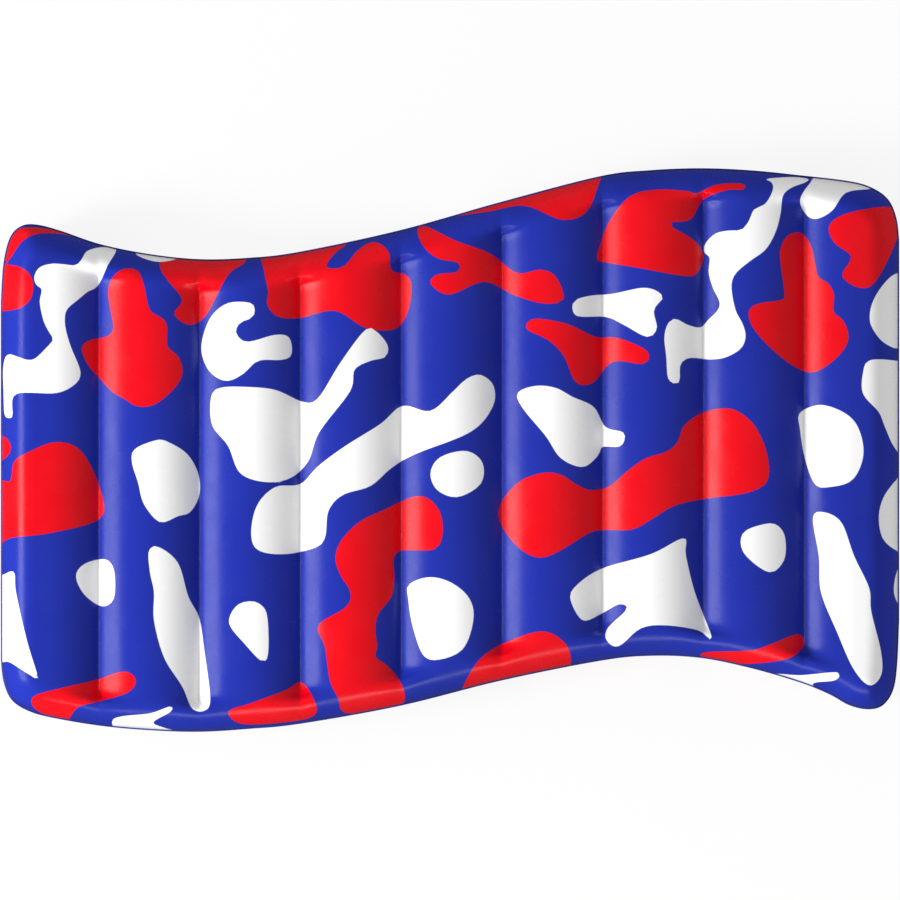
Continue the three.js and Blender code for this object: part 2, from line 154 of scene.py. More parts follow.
RED_PATCHES = (
    "-861 444, -803 442, -737 424, -779 432, -823 432, -855 416, -883 378, -891 390, -883 428",
    "-912 372, -888 371, -860 366, -840 352, -832 330, -836 304, -850 288, -866 281, -896 277, -912 276",
    (
        "-640 363, -660 358, -678 338, -683 310, -675 263, -673 243, -683 228, -717 220, -733 210, "
        "-735 197, -723 170, -700 143, -673 115, -647 100, -630 89, -610 86, -587 92, -560 113, "
        "-540 137, -534 160, -543 187, -563 205, -565 223, -565 247, -573 262, -595 275, -603 290, "
        "-612 333, -623 357"
    ),
    (
        "-579 364, -569 384, -489 400, -407 398, -413 372, -443 350, -487 270, -521 250, -551 272, "
        "-535 300, -563 338"
    ),
    (
        "-375 404, -371 356, -363 316, -365 290, -343 266, -299 264, -229 278, -169 244, -109 242, "
        "-83 280, -77 330, -89 350, -117 360, -123 396, -151 416, -183 400, -213 366, -247 366, "
        "-231 392, -209 416, -299 412"
    ),
    (
        "-51 448, -65 436, -51 404, -23 382, 15 374, 17 356, -27 350, -39 332, -1 310, 69 336, "
        "131 308, 191 292, 227 302, 211 346, 181 360, 133 354, 81 392, 11 418"
    ),
    "1 468, 73 476, 149 488, 221 460, 269 472, 293 520, 293 564, 141 524, 5 482",
    (
        "413 520, 360 507, 320 460, 300 410, 294 382, 310 375, 380 363, 473 347, 496 357, 506 390, "
        "486 420, 436 452, 480 460, 506 500, 553 519, 587 520, 583 532, 533 530, 493 513, 473 517"
    ),
    (
        "692 435, 672 426, 660 402, 660 374, 668 310, 658 299, 624 294, 602 286, 596 272, 604 246, "
        "632 212, 668 180, 692 165, 716 155, 740 160, 772 184, 792 210, 795 234, 784 260, 766 276, "
        "767 310, 756 332, 736 346, 730 370, 722 406, 708 429"
    ),
    "867 486, 791 472, 757 448, 767 414, 801 386, 783 348, 817 324, 851 338, 895 428, 891 476",
    (
        "-841 -4, -785 16, -735 -4, -697 -84, -701 -138, -799 -166, -879 -176, -911 -192, -911 -68, "
        "-879 -62, -871 -24"
    ),
    "-911 28, -887 24, -877 2, -891 -18, -911 -20",
    (
        "-651 -442, -709 -460, -779 -476, -831 -492, -831 -516, -789 -540, -767 -544, -743 -514, "
        "-699 -502, -643 -484, -627 -460"
    ),
    "-297 -464, -271 -500, -269 -528, -309 -542, -413 -548, -443 -522, -399 -506, -329 -480",
    (
        "-67 -92, -97 -103, -133 -120, -180 -143, -217 -180, -229 -217, -217 -253, -199 -283, "
        "-207 -313, -263 -350, -250 -393, -240 -460, -223 -497, -217 -520, -193 -527, -113 -517, "
        "-91 -500, -97 -467, -123 -433, -149 -413, -145 -393, -149 -360, -143 -327, -117 -293, "
        "-111 -253, -113 -220, -97 -201, -33 -199, -15 -170, -19 -127, -40 -99"
    ),
    (
        "190 -45, 143 -60, 110 -93, 97 -127, 110 -163, 143 -200, 180 -215, 220 -201, 280 -165, "
        "313 -160, 363 -159, 400 -140, 447 -112, 507 -98, 587 -87, 627 -70, 637 -43, 630 3, 607 50, "
        "573 78, 540 83, 500 72, 467 48, 455 17, 433 -3, 390 -17, 353 -43, 317 -73, 280 -80, "
        "250 -67, 223 -50"
    ),
    (
        "167 262, 153 242, 195 220, 227 188, 251 136, 285 134, 325 176, 387 172, 393 198, 335 224, "
        "291 226, 233 252"
    ),
    "187 -362, 117 -382, 61 -416, 25 -476, 33 -496, 121 -476, 221 -448, 241 -432, 233 -390",
    "695 -368, 645 -386, 601 -400, 513 -404, 507 -416, 577 -428, 671 -418, 707 -390",
)


class Slot(Enum):
    """The record's material slots."""

    PRINTED_VINYL = "printed_vinyl"
    SEAM_VINYL = "seam_vinyl"
    WEB_VINYL = "web_vinyl"
    PATCH_VINYL = "patch_vinyl"
    VALVE_PLASTIC = "valve_plastic"
    TETHER_PLASTIC = "tether_plastic"
    SEAL_RUBBER = "seal_rubber"
    WEBBING = "webbing"
    RING_STEEL = "ring_steel"


class Side(Enum):
    """Which of the two sheets, with the sign of its height over the seam."""

    TOP = 1
    BOTTOM = -1


# ---- Helpers ----


def read_outline(text: str) -> np.ndarray:
    """Turns "x y, x y" in millimetres into an array of points in metres.

    Args:
        text: The points of one outline.

    Returns:
        An (n, 2) array.
    """
    return np.array([[float(value) for value in pair.split()] for pair in text.split(",")]) * MM


def smooth_curve(points: np.ndarray, steps: int, closed: bool) -> np.ndarray:
    """Runs a uniform Catmull-Rom curve through points.

    Args:
        points: The (n, 2) points that the curve passes.
        steps: How many stretches each span is cut into.
        closed: Whether the curve comes back to its first point.

    Returns:
        The (m, 2) points along the curve.
    """
    if closed:
        padded = np.vstack([points[-1], points, points[:2]])
    else:
        padded = np.vstack([points[0], points, points[-1]])
    t = (np.arange(steps) / steps)[None, :, None]
    a, b, c, d = (padded[i : len(padded) - 3 + i, None, :] for i in range(4))
    curve = 0.5 * (
        2 * b + (c - a) * t + (2 * a - 5 * b + 4 * c - d) * t**2 + (3 * b - a - 3 * c + d) * t**3
    )
    curve = curve.reshape(-1, 2)
    return curve if closed else np.vstack([curve, points[-1]])


def along(line: np.ndarray, shares: np.ndarray) -> np.ndarray:
    """Points at given shares of a line's length, from 0 at its start to 1 at its end."""
    lengths = np.hypot(*np.diff(line, axis=0).T)
    reached = np.concatenate([[0], np.cumsum(lengths)])
    reached /= reached[-1]
    return np.stack([np.interp(shares, reached, line[:, k]) for k in (0, 1)], axis=1)


def smoothstep(low: float, high: float, value: np.ndarray) -> np.ndarray:
    """Rises smoothly from 0 at low to 1 at high."""
    t = np.clip((value - low) / (high - low), 0, 1)
    return t * t * (3 - 2 * t)


def nearest_on_loop(points: np.ndarray, line: np.ndarray) -> tuple[np.ndarray, np.ndarray]:
    """Finds how far points are from a polyline, and which way its nearest stretch faces.

    Args:
        points: (n, 2) points.
        line: (m, 2) points of the polyline, anticlockwise if it is a loop.

    Returns:
        The n distances, and the (n, 2) unit vectors that point to the right of the line.
    """
    start, step = line[:-1], np.diff(line, axis=0)
    squared = np.maximum((step**2).sum(axis=1), 1e-14)
    outwards = np.stack([step[:, 1], -step[:, 0]], axis=1) / np.sqrt(squared)[:, None]
    distances, facing = np.empty(len(points)), np.empty((len(points), 2))
    for first in range(0, len(points), 4000):
        part = slice(first, first + 4000)
        from_start = points[part, None, :] - start[None]
        share = np.clip((from_start * step[None]).sum(axis=2) / squared, 0, 1)
        gap = np.hypot(*np.moveaxis(from_start - share[..., None] * step[None], 2, 0))
        best = gap.argmin(axis=1)
        distances[part] = gap[np.arange(len(best)), best]
        facing[part] = outwards[best]
    return distances, facing


def inside(points: np.ndarray, loop: np.ndarray) -> np.ndarray:
    """Tells which points lie inside a closed loop."""
    result = np.zeros(len(points), bool)
    for (x0, y0), (x1, y1) in zip(loop, np.roll(loop, -1, axis=0)):
        if y0 == y1:
            continue
        crosses = (points[:, 1] > min(y0, y1)) & (points[:, 1] <= max(y0, y1))
        at = x0 + (points[:, 1] - y0) * (x1 - x0) / (y1 - y0)
        result ^= crosses & (points[:, 0] < at)
    return result


def deselect() -> None:
    """Deselects every object."""
    for obj in bpy.context.selected_objects:
        obj.select_set(False)


def activate(obj: bpy.types.Object) -> None:
    """Makes one object the only selected and the active one."""
    deselect()
    obj.select_set(True)
    bpy.context.view_layer.objects.active = obj


@contextmanager
def editing(obj: bpy.types.Object) -> Iterator[None]:
    """Edit mode on one object, with everything in it selected at the start."""
    activate(obj)
    bpy.ops.object.mode_set(mode="EDIT")
    bpy.ops.mesh.select_mode(type="VERT")
    bpy.ops.mesh.select_all(action="SELECT")
    yield
    bpy.ops.object.mode_set(mode="OBJECT")


def finish_with(obj: bpy.types.Object, kind: str, **settings: object) -> None:
    """Adds one modifier with its settings and applies it."""
    activate(obj)
    modifier = obj.modifiers.new(kind.title(), kind)
    for key, value in settings.items():
        setattr(modifier, key, value)
    bpy.ops.object.modifier_apply(modifier=modifier.name)


def drilled(obj: bpy.types.Object, place: Matrix, radius: float, depth: float, segments: int) -> None:
    """Cuts a round hole through a piece.

    Args:
        obj: The piece.
        place: Frame of the hole, whose Z runs through it.
        radius: Radius of the hole.
        depth: Its depth, half of it on each side of the frame's origin.
        segments: Faces round the hole.
    """
    deselect()
    bpy.ops.mesh.primitive_cylinder_add(vertices=segments, radius=radius, depth=depth)
    drill = bpy.context.object
    drill.data.transform(place)
    finish_with(obj, "BOOLEAN", operation="DIFFERENCE", object=drill, solver="EXACT")
    bpy.data.objects.remove(drill, do_unlink=True)


def block(size: Sequence[float]) -> bpy.types.Object:
    """Makes a block of a given size, in millimetres, in the middle of the scene."""
    deselect()
    bpy.ops.mesh.primitive_cube_add(size=1)
    obj = bpy.context.object
    obj.data.transform(Matrix.Diagonal([*(side * MM for side in size), 1]))
    return obj


def join(obj: bpy.types.Object, others: Sequence[bpy.types.Object]) -> None:
    """Joins other objects into one."""
    activate(obj)
    for other in others:
        other.select_set(True)
    bpy.ops.object.join()


def mesh_piece(name: str, points: np.ndarray, faces: Sequence[Sequence[int]]) -> bpy.types.Object:
    """Makes an object of points and faces at the origin."""
    mesh = bpy.data.meshes.new(name)
    mesh.from_pydata(np.asarray(points).tolist(), [], [list(face) for face in faces])
    obj = bpy.data.objects.new(name, mesh)
    bpy.context.collection.objects.link(obj)
    return obj


def grid_faces(columns: int, rows: int, closed: bool = False) -> np.ndarray:
    """Quads of a grid whose points run row by row up each column.

    Args:
        columns: How many columns the grid has.
        rows: How many points stand in a column.
        closed: Whether the last column joins the first.

    Returns:
        The (n, 4) corners, facing +Z where columns run along X and rows along Y.
    """
    column = np.arange(columns if closed else columns - 1)[:, None]
    row = np.arange(rows - 1)[None, :]
    a = column * rows + row
    b = (column + 1) % columns * rows + row
    return np.stack([a, b, b + 1, a + 1], axis=2).reshape(-1, 4)


def smooth_edges(obj: bpy.types.Object, degrees: float = 40) -> None:
    """Shades a piece smooth, apart from edges sharper than an angle."""
    activate(obj)
    bpy.ops.object.shade_smooth_by_angle(angle=math.radians(degrees))


def dress(obj: bpy.types.Object, material: bpy.types.Material) -> None:
    """Gives a piece its only material."""
    obj.data.materials.clear()
    obj.data.materials.append(material)


def centre_of(node: str) -> Vector:
    """The middle of a CAD node's box."""
    low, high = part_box(node)
    return (Vector(low) + Vector(high)) / 2


def colour(code: str) -> tuple[float, float, float, float]:
    """Turns an sRGB hex colour into a linear one with alpha."""
    shares = [int(code[i : i + 2], 16) / 255 for i in (1, 3, 5)]
    return (*(s / 12.92 if s <= 0.04045 else ((s + 0.055) / 1.055) ** 2.4 for s in shares), 1.0)


# ---- Plan and section of the mat ----


@dataclass
class MatPlan:
    """The outline that the two sheets are cut to, with its four sides.

    Attributes:
        steps: How finely each span of the outline is cut.
    """

    steps: int = 8
    front: np.ndarray = field(init=False)
    back: np.ndarray = field(init=False)
    left: np.ndarray = field(init=False)
    right: np.ndarray = field(init=False)
    loop: np.ndarray = field(init=False)

    def __post_init__(self) -> None:
        """Draws both long edges and shares the corners between them and the ends."""
        front = smooth_curve(read_outline(FRONT_EDGE), self.steps, closed=False)
        back = smooth_curve(read_outline(BACK_EDGE), self.steps, closed=False)
        self.loop = np.vstack([front, back[::-1], front[:1]])
        front_first, front_last = self._flat_stretch(front)
        back_first, back_last = self._flat_stretch(back)
        self.front = front[front_first : front_last + 1]
        self.back = back[back_first : back_last + 1]
        self.left = np.vstack([front[: front_first + 1][::-1], back[: back_first + 1]])
        self.right = np.vstack([front[front_last:], back[back_last:][::-1]])

    @staticmethod
    def _flat_stretch(curve: np.ndarray) -> tuple[int, int]:
        """Where a long edge starts and stops running more along X than along Y."""
        step = np.abs(np.diff(curve, axis=0))
        flat = np.nonzero(step[:, 0] >= step[:, 1])[0]
        return int(flat[0]), int(flat[-1]) + 1

    def front_y(self, x: np.ndarray) -> np.ndarray:
        """The front edge's Y at each X."""
        return np.interp(x, self.front[:, 0], self.front[:, 1])

    def back_y(self, x: np.ndarray) -> np.ndarray:
        """The back edge's Y at each X."""
        return np.interp(x, self.back[:, 0], self.back[:, 1])

    def nearest(self, points: np.ndarray) -> tuple[np.ndarray, np.ndarray]:
        """How far points are from the outline, and which way it faces there."""
        return nearest_on_loop(points, self.loop)


@dataclass
class SheetGrid:
    """The net of points that a sheet is made of, dense where it turns sharply.

    Attributes:
        plan: The outline.
        creases: X of each crease.
        roll: How far in from the edge the rows and columns stay close.
        roll_steps: How many of them lie within that.
        half_steps: Columns from a crease to the middle of a channel.
        crowd: How strongly those columns crowd towards the crease.
        row_gap: Distance between rows away from the edges.
    """

    plan: MatPlan
    creases: Sequence[float]
    roll: float = 0.09
    roll_steps: int = 20
    half_steps: int = 14
    crowd: float = 1.6
    row_gap: float = 0.008

    def _edge_places(self) -> np.ndarray:
        """Distances in from an edge, closest together at the edge."""
        turn = np.linspace(0, math.pi / 2, self.roll_steps + 1)
        return self.roll * (1 - np.cos(turn))

    def _row_shares(self, length: float, middle_rows: int) -> np.ndarray:
        """Shares of a column's length at which its points lie."""
        near = self._edge_places()
        middle = np.linspace(self.roll, length - self.roll, middle_rows + 2)[1:-1]
        return np.concatenate([near, middle, length - near[::-1]]) / length

    def _straight_column(self, x: float, middle_rows: int) -> np.ndarray:
        """One column of points across the mat at a fixed X."""
        front, back = self.plan.front_y(x), self.plan.back_y(x)
        rows = front + (back - front) * self._row_shares(back - front, middle_rows)
        return np.stack([np.full_like(rows, x), rows], axis=1)

    def _end_columns(self, end: np.ndarray, x: float, middle_rows: int) -> np.ndarray:
        """Columns between a rounded end and the nearest crease, from the end inwards.

        Args:
            end: The end's line, from the front corner to the back corner.
            x: X of the nearest crease.
            middle_rows: How many rows lie between the two rolls.

        Returns:
            A (columns, rows, 2) array without the column on the crease.
        """
        crease = self._straight_column(x, middle_rows)
        length = np.hypot(*np.diff(end, axis=0).T).sum()
        outer = along(end, self._row_shares(length, middle_rows))
        depth = abs(end[:, 0]).max() - abs(x)
        near = self._edge_places()
        channel = (depth - self.roll) * (np.arange(self.half_steps) / self.half_steps) ** self.crowd
        shares = np.concatenate([near, (depth - channel[1:])[::-1]]) / depth
        sides = []
        for edge in (self.plan.front, self.plan.back):
            wanted = np.sign(x) * edge[:, 0] > abs(x)
            line = edge[wanted] if x > 0 else edge[wanted][::-1]
            cut = crease[0] if edge is self.plan.front else crease[-1]
            sides.append(along(np.vstack([cut, line])[::-1], shares))
        s, t = shares[:, None, None], self._blend_rows(crease)[None, :, None]
        flat = (1 - t) * sides[0][:, None] + t * sides[1][:, None]
        upright = (1 - s) * outer[None] + s * crease[None]
        corners = (1 - s) * ((1 - t) * outer[0] + t * outer[-1])
        corners = corners + s * ((1 - t) * crease[0] + t * crease[-1])
        return flat + upright - corners

    @staticmethod
    def _blend_rows(crease: np.ndarray) -> np.ndarray:
        """How far up the crease's column each row lies."""
        return (crease[:, 1] - crease[0, 1]) / (crease[-1, 1] - crease[0, 1])

    def points(self) -> np.ndarray:
        """Lays out the whole net.

        Returns:
            A (columns, rows, 2) array, columns from left to right, rows from front to back.
        """
        first, last = self.creases[0], self.creases[-1]
        places = np.array(self.creases)
        width = np.mean(self.plan.back_y(places) - self.plan.front_y(places))
        middle_rows = round((width - 2 * self.roll) / self.row_gap)
        half = (self.creases[1] - first) / 2
        rise = half * (np.arange(self.half_steps + 1) / self.half_steps) ** self.crowd
        inner = [first]
        for crease in self.creases[:-1]:
            inner.extend(crease + rise[1:])
            inner.extend(crease + 2 * half - rise[-2::-1])
        columns = [self._straight_column(x, middle_rows) for x in inner]
        left = self._end_columns(self.plan.left, first, middle_rows)
        right = self._end_columns(self.plan.right, last, middle_rows)
        return np.concatenate([left, np.stack(columns), right[::-1]])


@dataclass(frozen=True)
class StiffSpot:
    """A place where a fitting holds the bottom sheet to a plain round roll.

    Attributes:
        x: X of the fitting.
        y: Y of the fitting.
        held: The sheet is plain up to this far from it.
        free: And takes its own shape again this far from it.
    """

    x: float
    y: float
    held: float
    free: float


@dataclass
class MatSection:
    """How far each sheet stands off the seam's height.

    Attributes:
        plan: The outline.
        creases: X of each crease.
        crest: Half the mat's thickness at the top of a channel.
        web: Half its thickness at a crease.
        spots: Where fittings hold the bottom sheet.
        rim: Half the gap between the two sheets at the seam.
        reach: Width of the roll in plan.
        fullness: Shape of the roll, 2 for a quarter of an ellipse and more for a fuller one.
        corner: How sharply the rolls of two sides meet at a corner.
        weld: Half the width of the weld at the bottom of a crease.
        rest_cut: The bottom's channels lie flat on the ground up to this height.
        rest_edge: How softly the flat part turns up again.
        sink_outer: Distances from the edge over which the creases start to sink in.
        sink_inner: Distances over which they reach their depth.
        sink_share: Share of the depth that the outer stretch takes.
        groove_width: How far a crease's groove on the roll reaches to each side.
        groove_depth: Its depth.
        groove_start: Distances from the edge over which it begins.
        fitted: Distances from the edge over which the fittings' hold ends.
    """

    plan: MatPlan
    creases: Sequence[float]
    crest: float
    web: float
    spots: Sequence[StiffSpot]
    rim: float = 1.0 * MM
    reach: float = 0.065
    fullness: float = 2.15
    corner: float = 2.4
    weld: float = 1.5 * MM
    rest_cut: float = 1.4 * MM
    rest_edge: float = 0.4 * MM
    sink_outer: tuple[float, float] = (0.025, 0.075)
    sink_inner: tuple[float, float] = (0.042, 0.060)
    sink_share: float = 0.35
    groove_width: float = 0.013
    groove_depth: float = 2.0 * MM
    groove_start: tuple[float, float] = (0.006, 0.034)
    fitted: tuple[float, float] = (0.08, 0.1)

    def _roll(self, points: np.ndarray) -> np.ndarray:
        """How full the mat is because of its four rolls, from 0 at the edge to 1."""
        lack = np.zeros(len(points))
        for line in (self.plan.front, self.plan.right, self.plan.back, self.plan.left):
            distance, _ = nearest_on_loop(points, line)
            inwards = np.clip(distance / self.reach, 0, 1)
            fill = (1 - (1 - inwards) ** self.fullness) ** (1 / self.fullness)
            lack += ((1 - fill) / np.maximum(fill, 1e-6)) ** self.corner
        return 1 / (1 + lack ** (1 / self.corner))

    def from_crease(self, x: np.ndarray) -> np.ndarray:
        """Distance to the nearest crease, and half a channel beyond the outer ones."""
        half = (self.creases[1] - self.creases[0]) / 2
        gaps = np.abs(x[:, None] - np.array(self.creases)[None]).min(axis=1)
        return np.minimum(gaps, half)

    def _channel(self, x: np.ndarray, crest: float) -> np.ndarray:
        """Half thickness across the channels: a round arc from crease to crease."""
        half = (self.creases[1] - self.creases[0]) / 2
        rise = crest - self.web
        radius = (half**2 + rise**2) / (2 * rise)
        soft = np.hypot(self.from_crease(x), self.weld) - self.weld
        return self.web + rise - radius + np.sqrt(radius**2 - (half - soft) ** 2)

    def _puckers(self, points: np.ndarray, inwards: np.ndarray) -> np.ndarray:
        """Small puckers at the weld and slow unevenness of the film, in metres."""
        pucker_height, pucker_reach = 0.45 * MM, 0.016
        sag_height = 0.22 * MM
        x, y = points.T
        lengthwise = x + 0.6 * y
        fine = np.sin(lengthwise / 0.0031 + 3 * np.sin(lengthwise / 0.021))
        slow = np.sin(x / 0.043 + 1.3 * np.sin(y / 0.071)) * np.sin(y / 0.057 + np.sin(x / 0.083))
        near = np.exp(-((inwards / pucker_reach) ** 2)) * smoothstep(0, 0.004, inwards)
        return pucker_height * fine * near + sag_height * slow * smoothstep(0.01, 0.05, inwards)

    def half_thickness(self, points: np.ndarray, side: Side) -> np.ndarray:
        """How far a sheet stands off the seam's height.

        Args:
            points: (n, 2) places in plan.
            side: Which sheet.

        Returns:
            The n distances from the seam's height.
        """
        inwards, _ = self.plan.nearest(points)
        half = self.rim + (self.crest - self.rim) * self._roll(points)
        crest = self.crest + (self.rest_cut if side is Side.BOTTOM else 0)
        sunk = self.sink_share * smoothstep(*self.sink_outer, inwards)
        sunk += (1 - self.sink_share) * smoothstep(*self.sink_inner, inwards)
        half -= sunk * np.maximum(0, half - self._channel(points[:, 0], crest))
        groove = np.exp(-((self.from_crease(points[:, 0]) / self.groove_width) ** 2))
        half -= self.groove_depth * groove * smoothstep(*self.groove_start, inwards) * (1 - sunk)
        half += self._puckers(points, inwards)
        if side is Side.TOP:
            return half
        half = self.crest - self.rest_edge * np.logaddexp(0, (self.crest - half) / self.rest_edge)
        return self._held(points, inwards, np.maximum(half, self.rim))

    def _held(self, points: np.ndarray, inwards: np.ndarray, half: np.ndarray) -> np.ndarray:
        """Brings the sheet back to a plain round roll where a fitting holds it."""
        across = np.clip(inwards / self.crest, 0, 1)
        plain = self.rim + (self.crest - self.rim) * np.sqrt(1 - (1 - across) ** 2)
        for spot in self.spots:
            away = np.hypot(points[:, 0] - spot.x, points[:, 1] - spot.y)
            weight = (1 - smoothstep(spot.held, spot.free, away)) * (1 - smoothstep(*self.fitted, inwards))
            half = half + weight * (plain - half)
        return half


@dataclass
class CamouflagePrint:
    """The print: red and white patches on blue, laid out on the flat sheet.

    Attributes:
        plan: The outline.
        roll: Radius of the roll over which the sheet turns down to the seam.
        far: Ink further than this from a patch's edge isn't told apart.
        bottom_scale: Share of the layout that the bottom sheet takes, turned half round.
    """

    plan: MatPlan
    roll: float
    far: float = 0.02
    bottom_scale: float = 0.84

    def _on_flat_sheet(self, points: np.ndarray) -> np.ndarray:
        """Moves points of the inflated plan out to where they lie on the flat sheet."""
        distance, facing = self.plan.nearest(points)
        inwards = np.where(inside(points, self.plan.loop), distance, -distance)
        from_top = np.maximum(self.roll - inwards, 0)
        on_roll = np.minimum(from_top, self.roll)
        unrolled = self.roll * np.arcsin(on_roll / self.roll) + 2 * (from_top - on_roll)
        return points + facing * (unrolled - from_top)[:, None]

    def _ink(self, places: np.ndarray, patches: Sequence[str]) -> np.ndarray:
        """How deep places lie inside the nearest patch, in millimetres, negative outside it."""
        depth = np.full(len(places), -self.far)
        for patch in patches:
            curve = self._on_flat_sheet(smooth_curve(read_outline(patch), 6, closed=True))
            low, high = curve.min(axis=0) - self.far, curve.max(axis=0) + self.far
            near = np.nonzero(((places > low) & (places < high)).all(axis=1))[0]
            if not len(near):
                continue
            distance, _ = nearest_on_loop(places[near], np.vstack([curve, curve[:1]]))
            signed = np.where(inside(places[near], curve), distance, -distance)
            depth[near] = np.maximum(depth[near], signed)
        return depth / MM

    def apply(self, obj: bpy.types.Object, side: Side) -> None:
        """Prints a sheet: writes how deep in ink each of its points is."""
        count = len(obj.data.vertices)
        points = np.empty(count * 3)
        obj.data.vertices.foreach_get("co", points)
        places = self._on_flat_sheet(points.reshape(-1, 3)[:, :2])
        if side is Side.BOTTOM:
            places *= -self.bottom_scale
        for name, patches in (("white_ink", WHITE_PATCHES), ("red_ink", RED_PATCHES)):
            attribute = obj.data.attributes.new(name, "FLOAT", "POINT")
            attribute.data.foreach_set("value", self._ink(places, patches).astype(np.float32))


# ---- Sheets and seam ----


@dataclass
class AirMat:
    """The mat itself: two printed sheets and the weld that joins them.

    Attributes:
        plan: The outline.
        section: The inflated shape.
        seam_height: Height of the seam over the floor.
        film: Thickness of the vinyl.
        seam_out: How far the weld stands out past the sheets.
        seam_in: How far it reaches in between them.
        rib_start: How far out from the sheets the first rib begins.
        plain_edge: Width at the weld's outer edge and inner end that has no ribs.
        rib_gap: Distance between the ribs that the welding bar leaves.
        rib_depth: Depth of the grooves between them.
        edge_share: Height of the weld's outer edge as a share of its thickness.
    """

    plan: MatPlan
    section: MatSection
    seam_height: float
    film: float = 0.9 * MM
    seam_out: float = 3 * MM
    seam_in: float = 7 * MM
    rib_start: float = 0.2 * MM
    plain_edge: float = 0.8 * MM
    rib_gap: float = 0.8 * MM
    rib_depth: float = 0.25 * MM
    edge_share: float = 0.55

    def sheet(self, name: str, side: Side) -> bpy.types.Object:
        """Makes one inflated sheet with its thickness, not yet printed.

        Args:
            name: The piece's name.
            side: Which sheet.

        Returns:
            The sheet.
        """
        net = SheetGrid(self.plan, self.section.creases).points()
        columns, rows = net.shape[:2]
        places = net.reshape(-1, 2)
        half = self.section.half_thickness(places, side).reshape(columns, rows)
        half[[0, -1]] = self.section.rim
        half[:, [0, -1]] = self.section.rim
        heights = self.seam_height + side.value * half.reshape(-1, 1)
        faces = grid_faces(columns, rows)
        if side is Side.BOTTOM:
            faces = faces[:, ::-1]
        obj = mesh_piece(name, np.hstack([places, heights]), faces)
        finish_with(obj, "SOLIDIFY", thickness=self.film, offset=-1, use_even_offset=False)
        return obj

    def weld(self, name: str) -> bpy.types.Object:
        """Makes the weld round the edge, with the ribs that the welding bar pressed."""
        half = self.section.rim
        offsets = [-self.seam_in, self.rib_start]
        heights = [half, half]
        ribs = int((self.seam_out - self.plain_edge) / self.rib_gap)
        for rib in range(ribs):
            at = self.rib_start + (rib + 0.5) * self.rib_gap
            offsets += [at, at + self.rib_gap / 2]
            heights += [half - self.rib_depth, half]
        offsets.append(self.seam_out)
        heights.append(self.edge_share * half)
        offsets = np.array(offsets + offsets[::-1])
        heights = np.array(heights + [-h for h in heights[::-1]])
        loop = self.plan.loop[:-1]
        ahead, behind = np.roll(loop, -1, axis=0), np.roll(loop, 1, axis=0)
        run = ahead - behind
        run /= np.linalg.norm(run, axis=1)[:, None]
        facing = np.stack([run[:, 1], -run[:, 0]], axis=1)
        flat = loop[:, None] + facing[:, None] * offsets[None, :, None]
        tall = np.broadcast_to(heights + self.seam_height, flat.shape[:2])[..., None]
        points = np.concatenate([flat, tall], axis=2)
        points = np.concatenate([points, points[:, :1]], axis=1)
        columns, rows = points.shape[:2]
        obj = mesh_piece(name, points.reshape(-1, 3), grid_faces(columns, rows, closed=True))
        with editing(obj):
            bpy.ops.mesh.remove_doubles(threshold=0.01 * MM)
            bpy.ops.mesh.normals_make_consistent(inside=False)
        return obj


# ---- Finishes ----


def add_node(
    tree: bpy.types.NodeTree, kind: str, inputs: dict[str | int, object] | None = None, **settings: object
) -> bpy.types.Node:
    """Adds a node with its settings and its inputs, each a value or another node's output.

    Args:
        tree: The material's or the world's node tree.
        kind: The node's type.
        inputs: Values or output sockets by the input's name or index.
        **settings: The node's own properties.

    Returns:
        The node.
    """
    node = tree.nodes.new(kind)
    for key, value in settings.items():
        setattr(node, key, value)
    for key, value in (inputs or {}).items():
        if isinstance(value, bpy.types.NodeSocket):
            tree.links.new(value, node.inputs[key])
        else:
            node.inputs[key].default_value = value
    return node


def new_material(
    name: str, roughness: float, ior: float = 1.5, metallic: float = 0, mirror: float = 0.5
) -> tuple:
    """Makes a material with a Principled shader.

    Args:
        name: What the real material is.
        roughness: The shader's roughness.
        ior: Its index of refraction.
        metallic: 1 for a metal.
        mirror: How strongly it mirrors, 0.5 for a clean surface.

    Returns:
        The material, its node tree and the shader.
    """
    material = bpy.data.materials.new(name)
    material.use_nodes = True
    shader = material.node_tree.nodes["Principled BSDF"]
    shader.inputs["Roughness"].default_value = roughness
    shader.inputs["IOR"].default_value = ior
    shader.inputs["Metallic"].default_value = metallic
    shader.inputs["Specular IOR Level"].default_value = mirror
    return material, material.node_tree, shader


def noise(tree: bpy.types.NodeTree, grain: float, detail: float = 3) -> bpy.types.NodeSocket:
    """Noise in the piece's own space.

    Args:
        tree: The node tree.
        grain: Size of the noise's lumps, in metres.
        detail: How many finer layers it has.

    Returns:
        The noise's value, from 0 to 1.
    """
    place = add_node(tree, "ShaderNodeTexCoord").outputs["Object"]
    inputs = {"Vector": place, "Scale": 1 / grain, "Detail": detail}
    return add_node(tree, "ShaderNodeTexNoise", inputs).outputs["Fac"]


def mapped(
    tree: bpy.types.NodeTree, value: bpy.types.NodeSocket, low: float, high: float,
    to_low: float, to_high: float, smooth: bool = False,
) -> bpy.types.NodeSocket:
    """Maps a value from one range to another.

    Args:
        tree: The node tree.
        value: The value's socket.
        low: Start of its range.
        high: End of its range.
        to_low: What the start becomes.
        to_high: What the end becomes.
        smooth: Whether it eases in and out.

    Returns:
        The new value's socket.
    """
    kind = "SMOOTHSTEP" if smooth else "LINEAR"
    inputs = {"Value": value, "From Min": low, "From Max": high, "To Min": to_low, "To Max": to_high}
    return add_node(tree, "ShaderNodeMapRange", inputs, interpolation_type=kind).outputs["Result"]


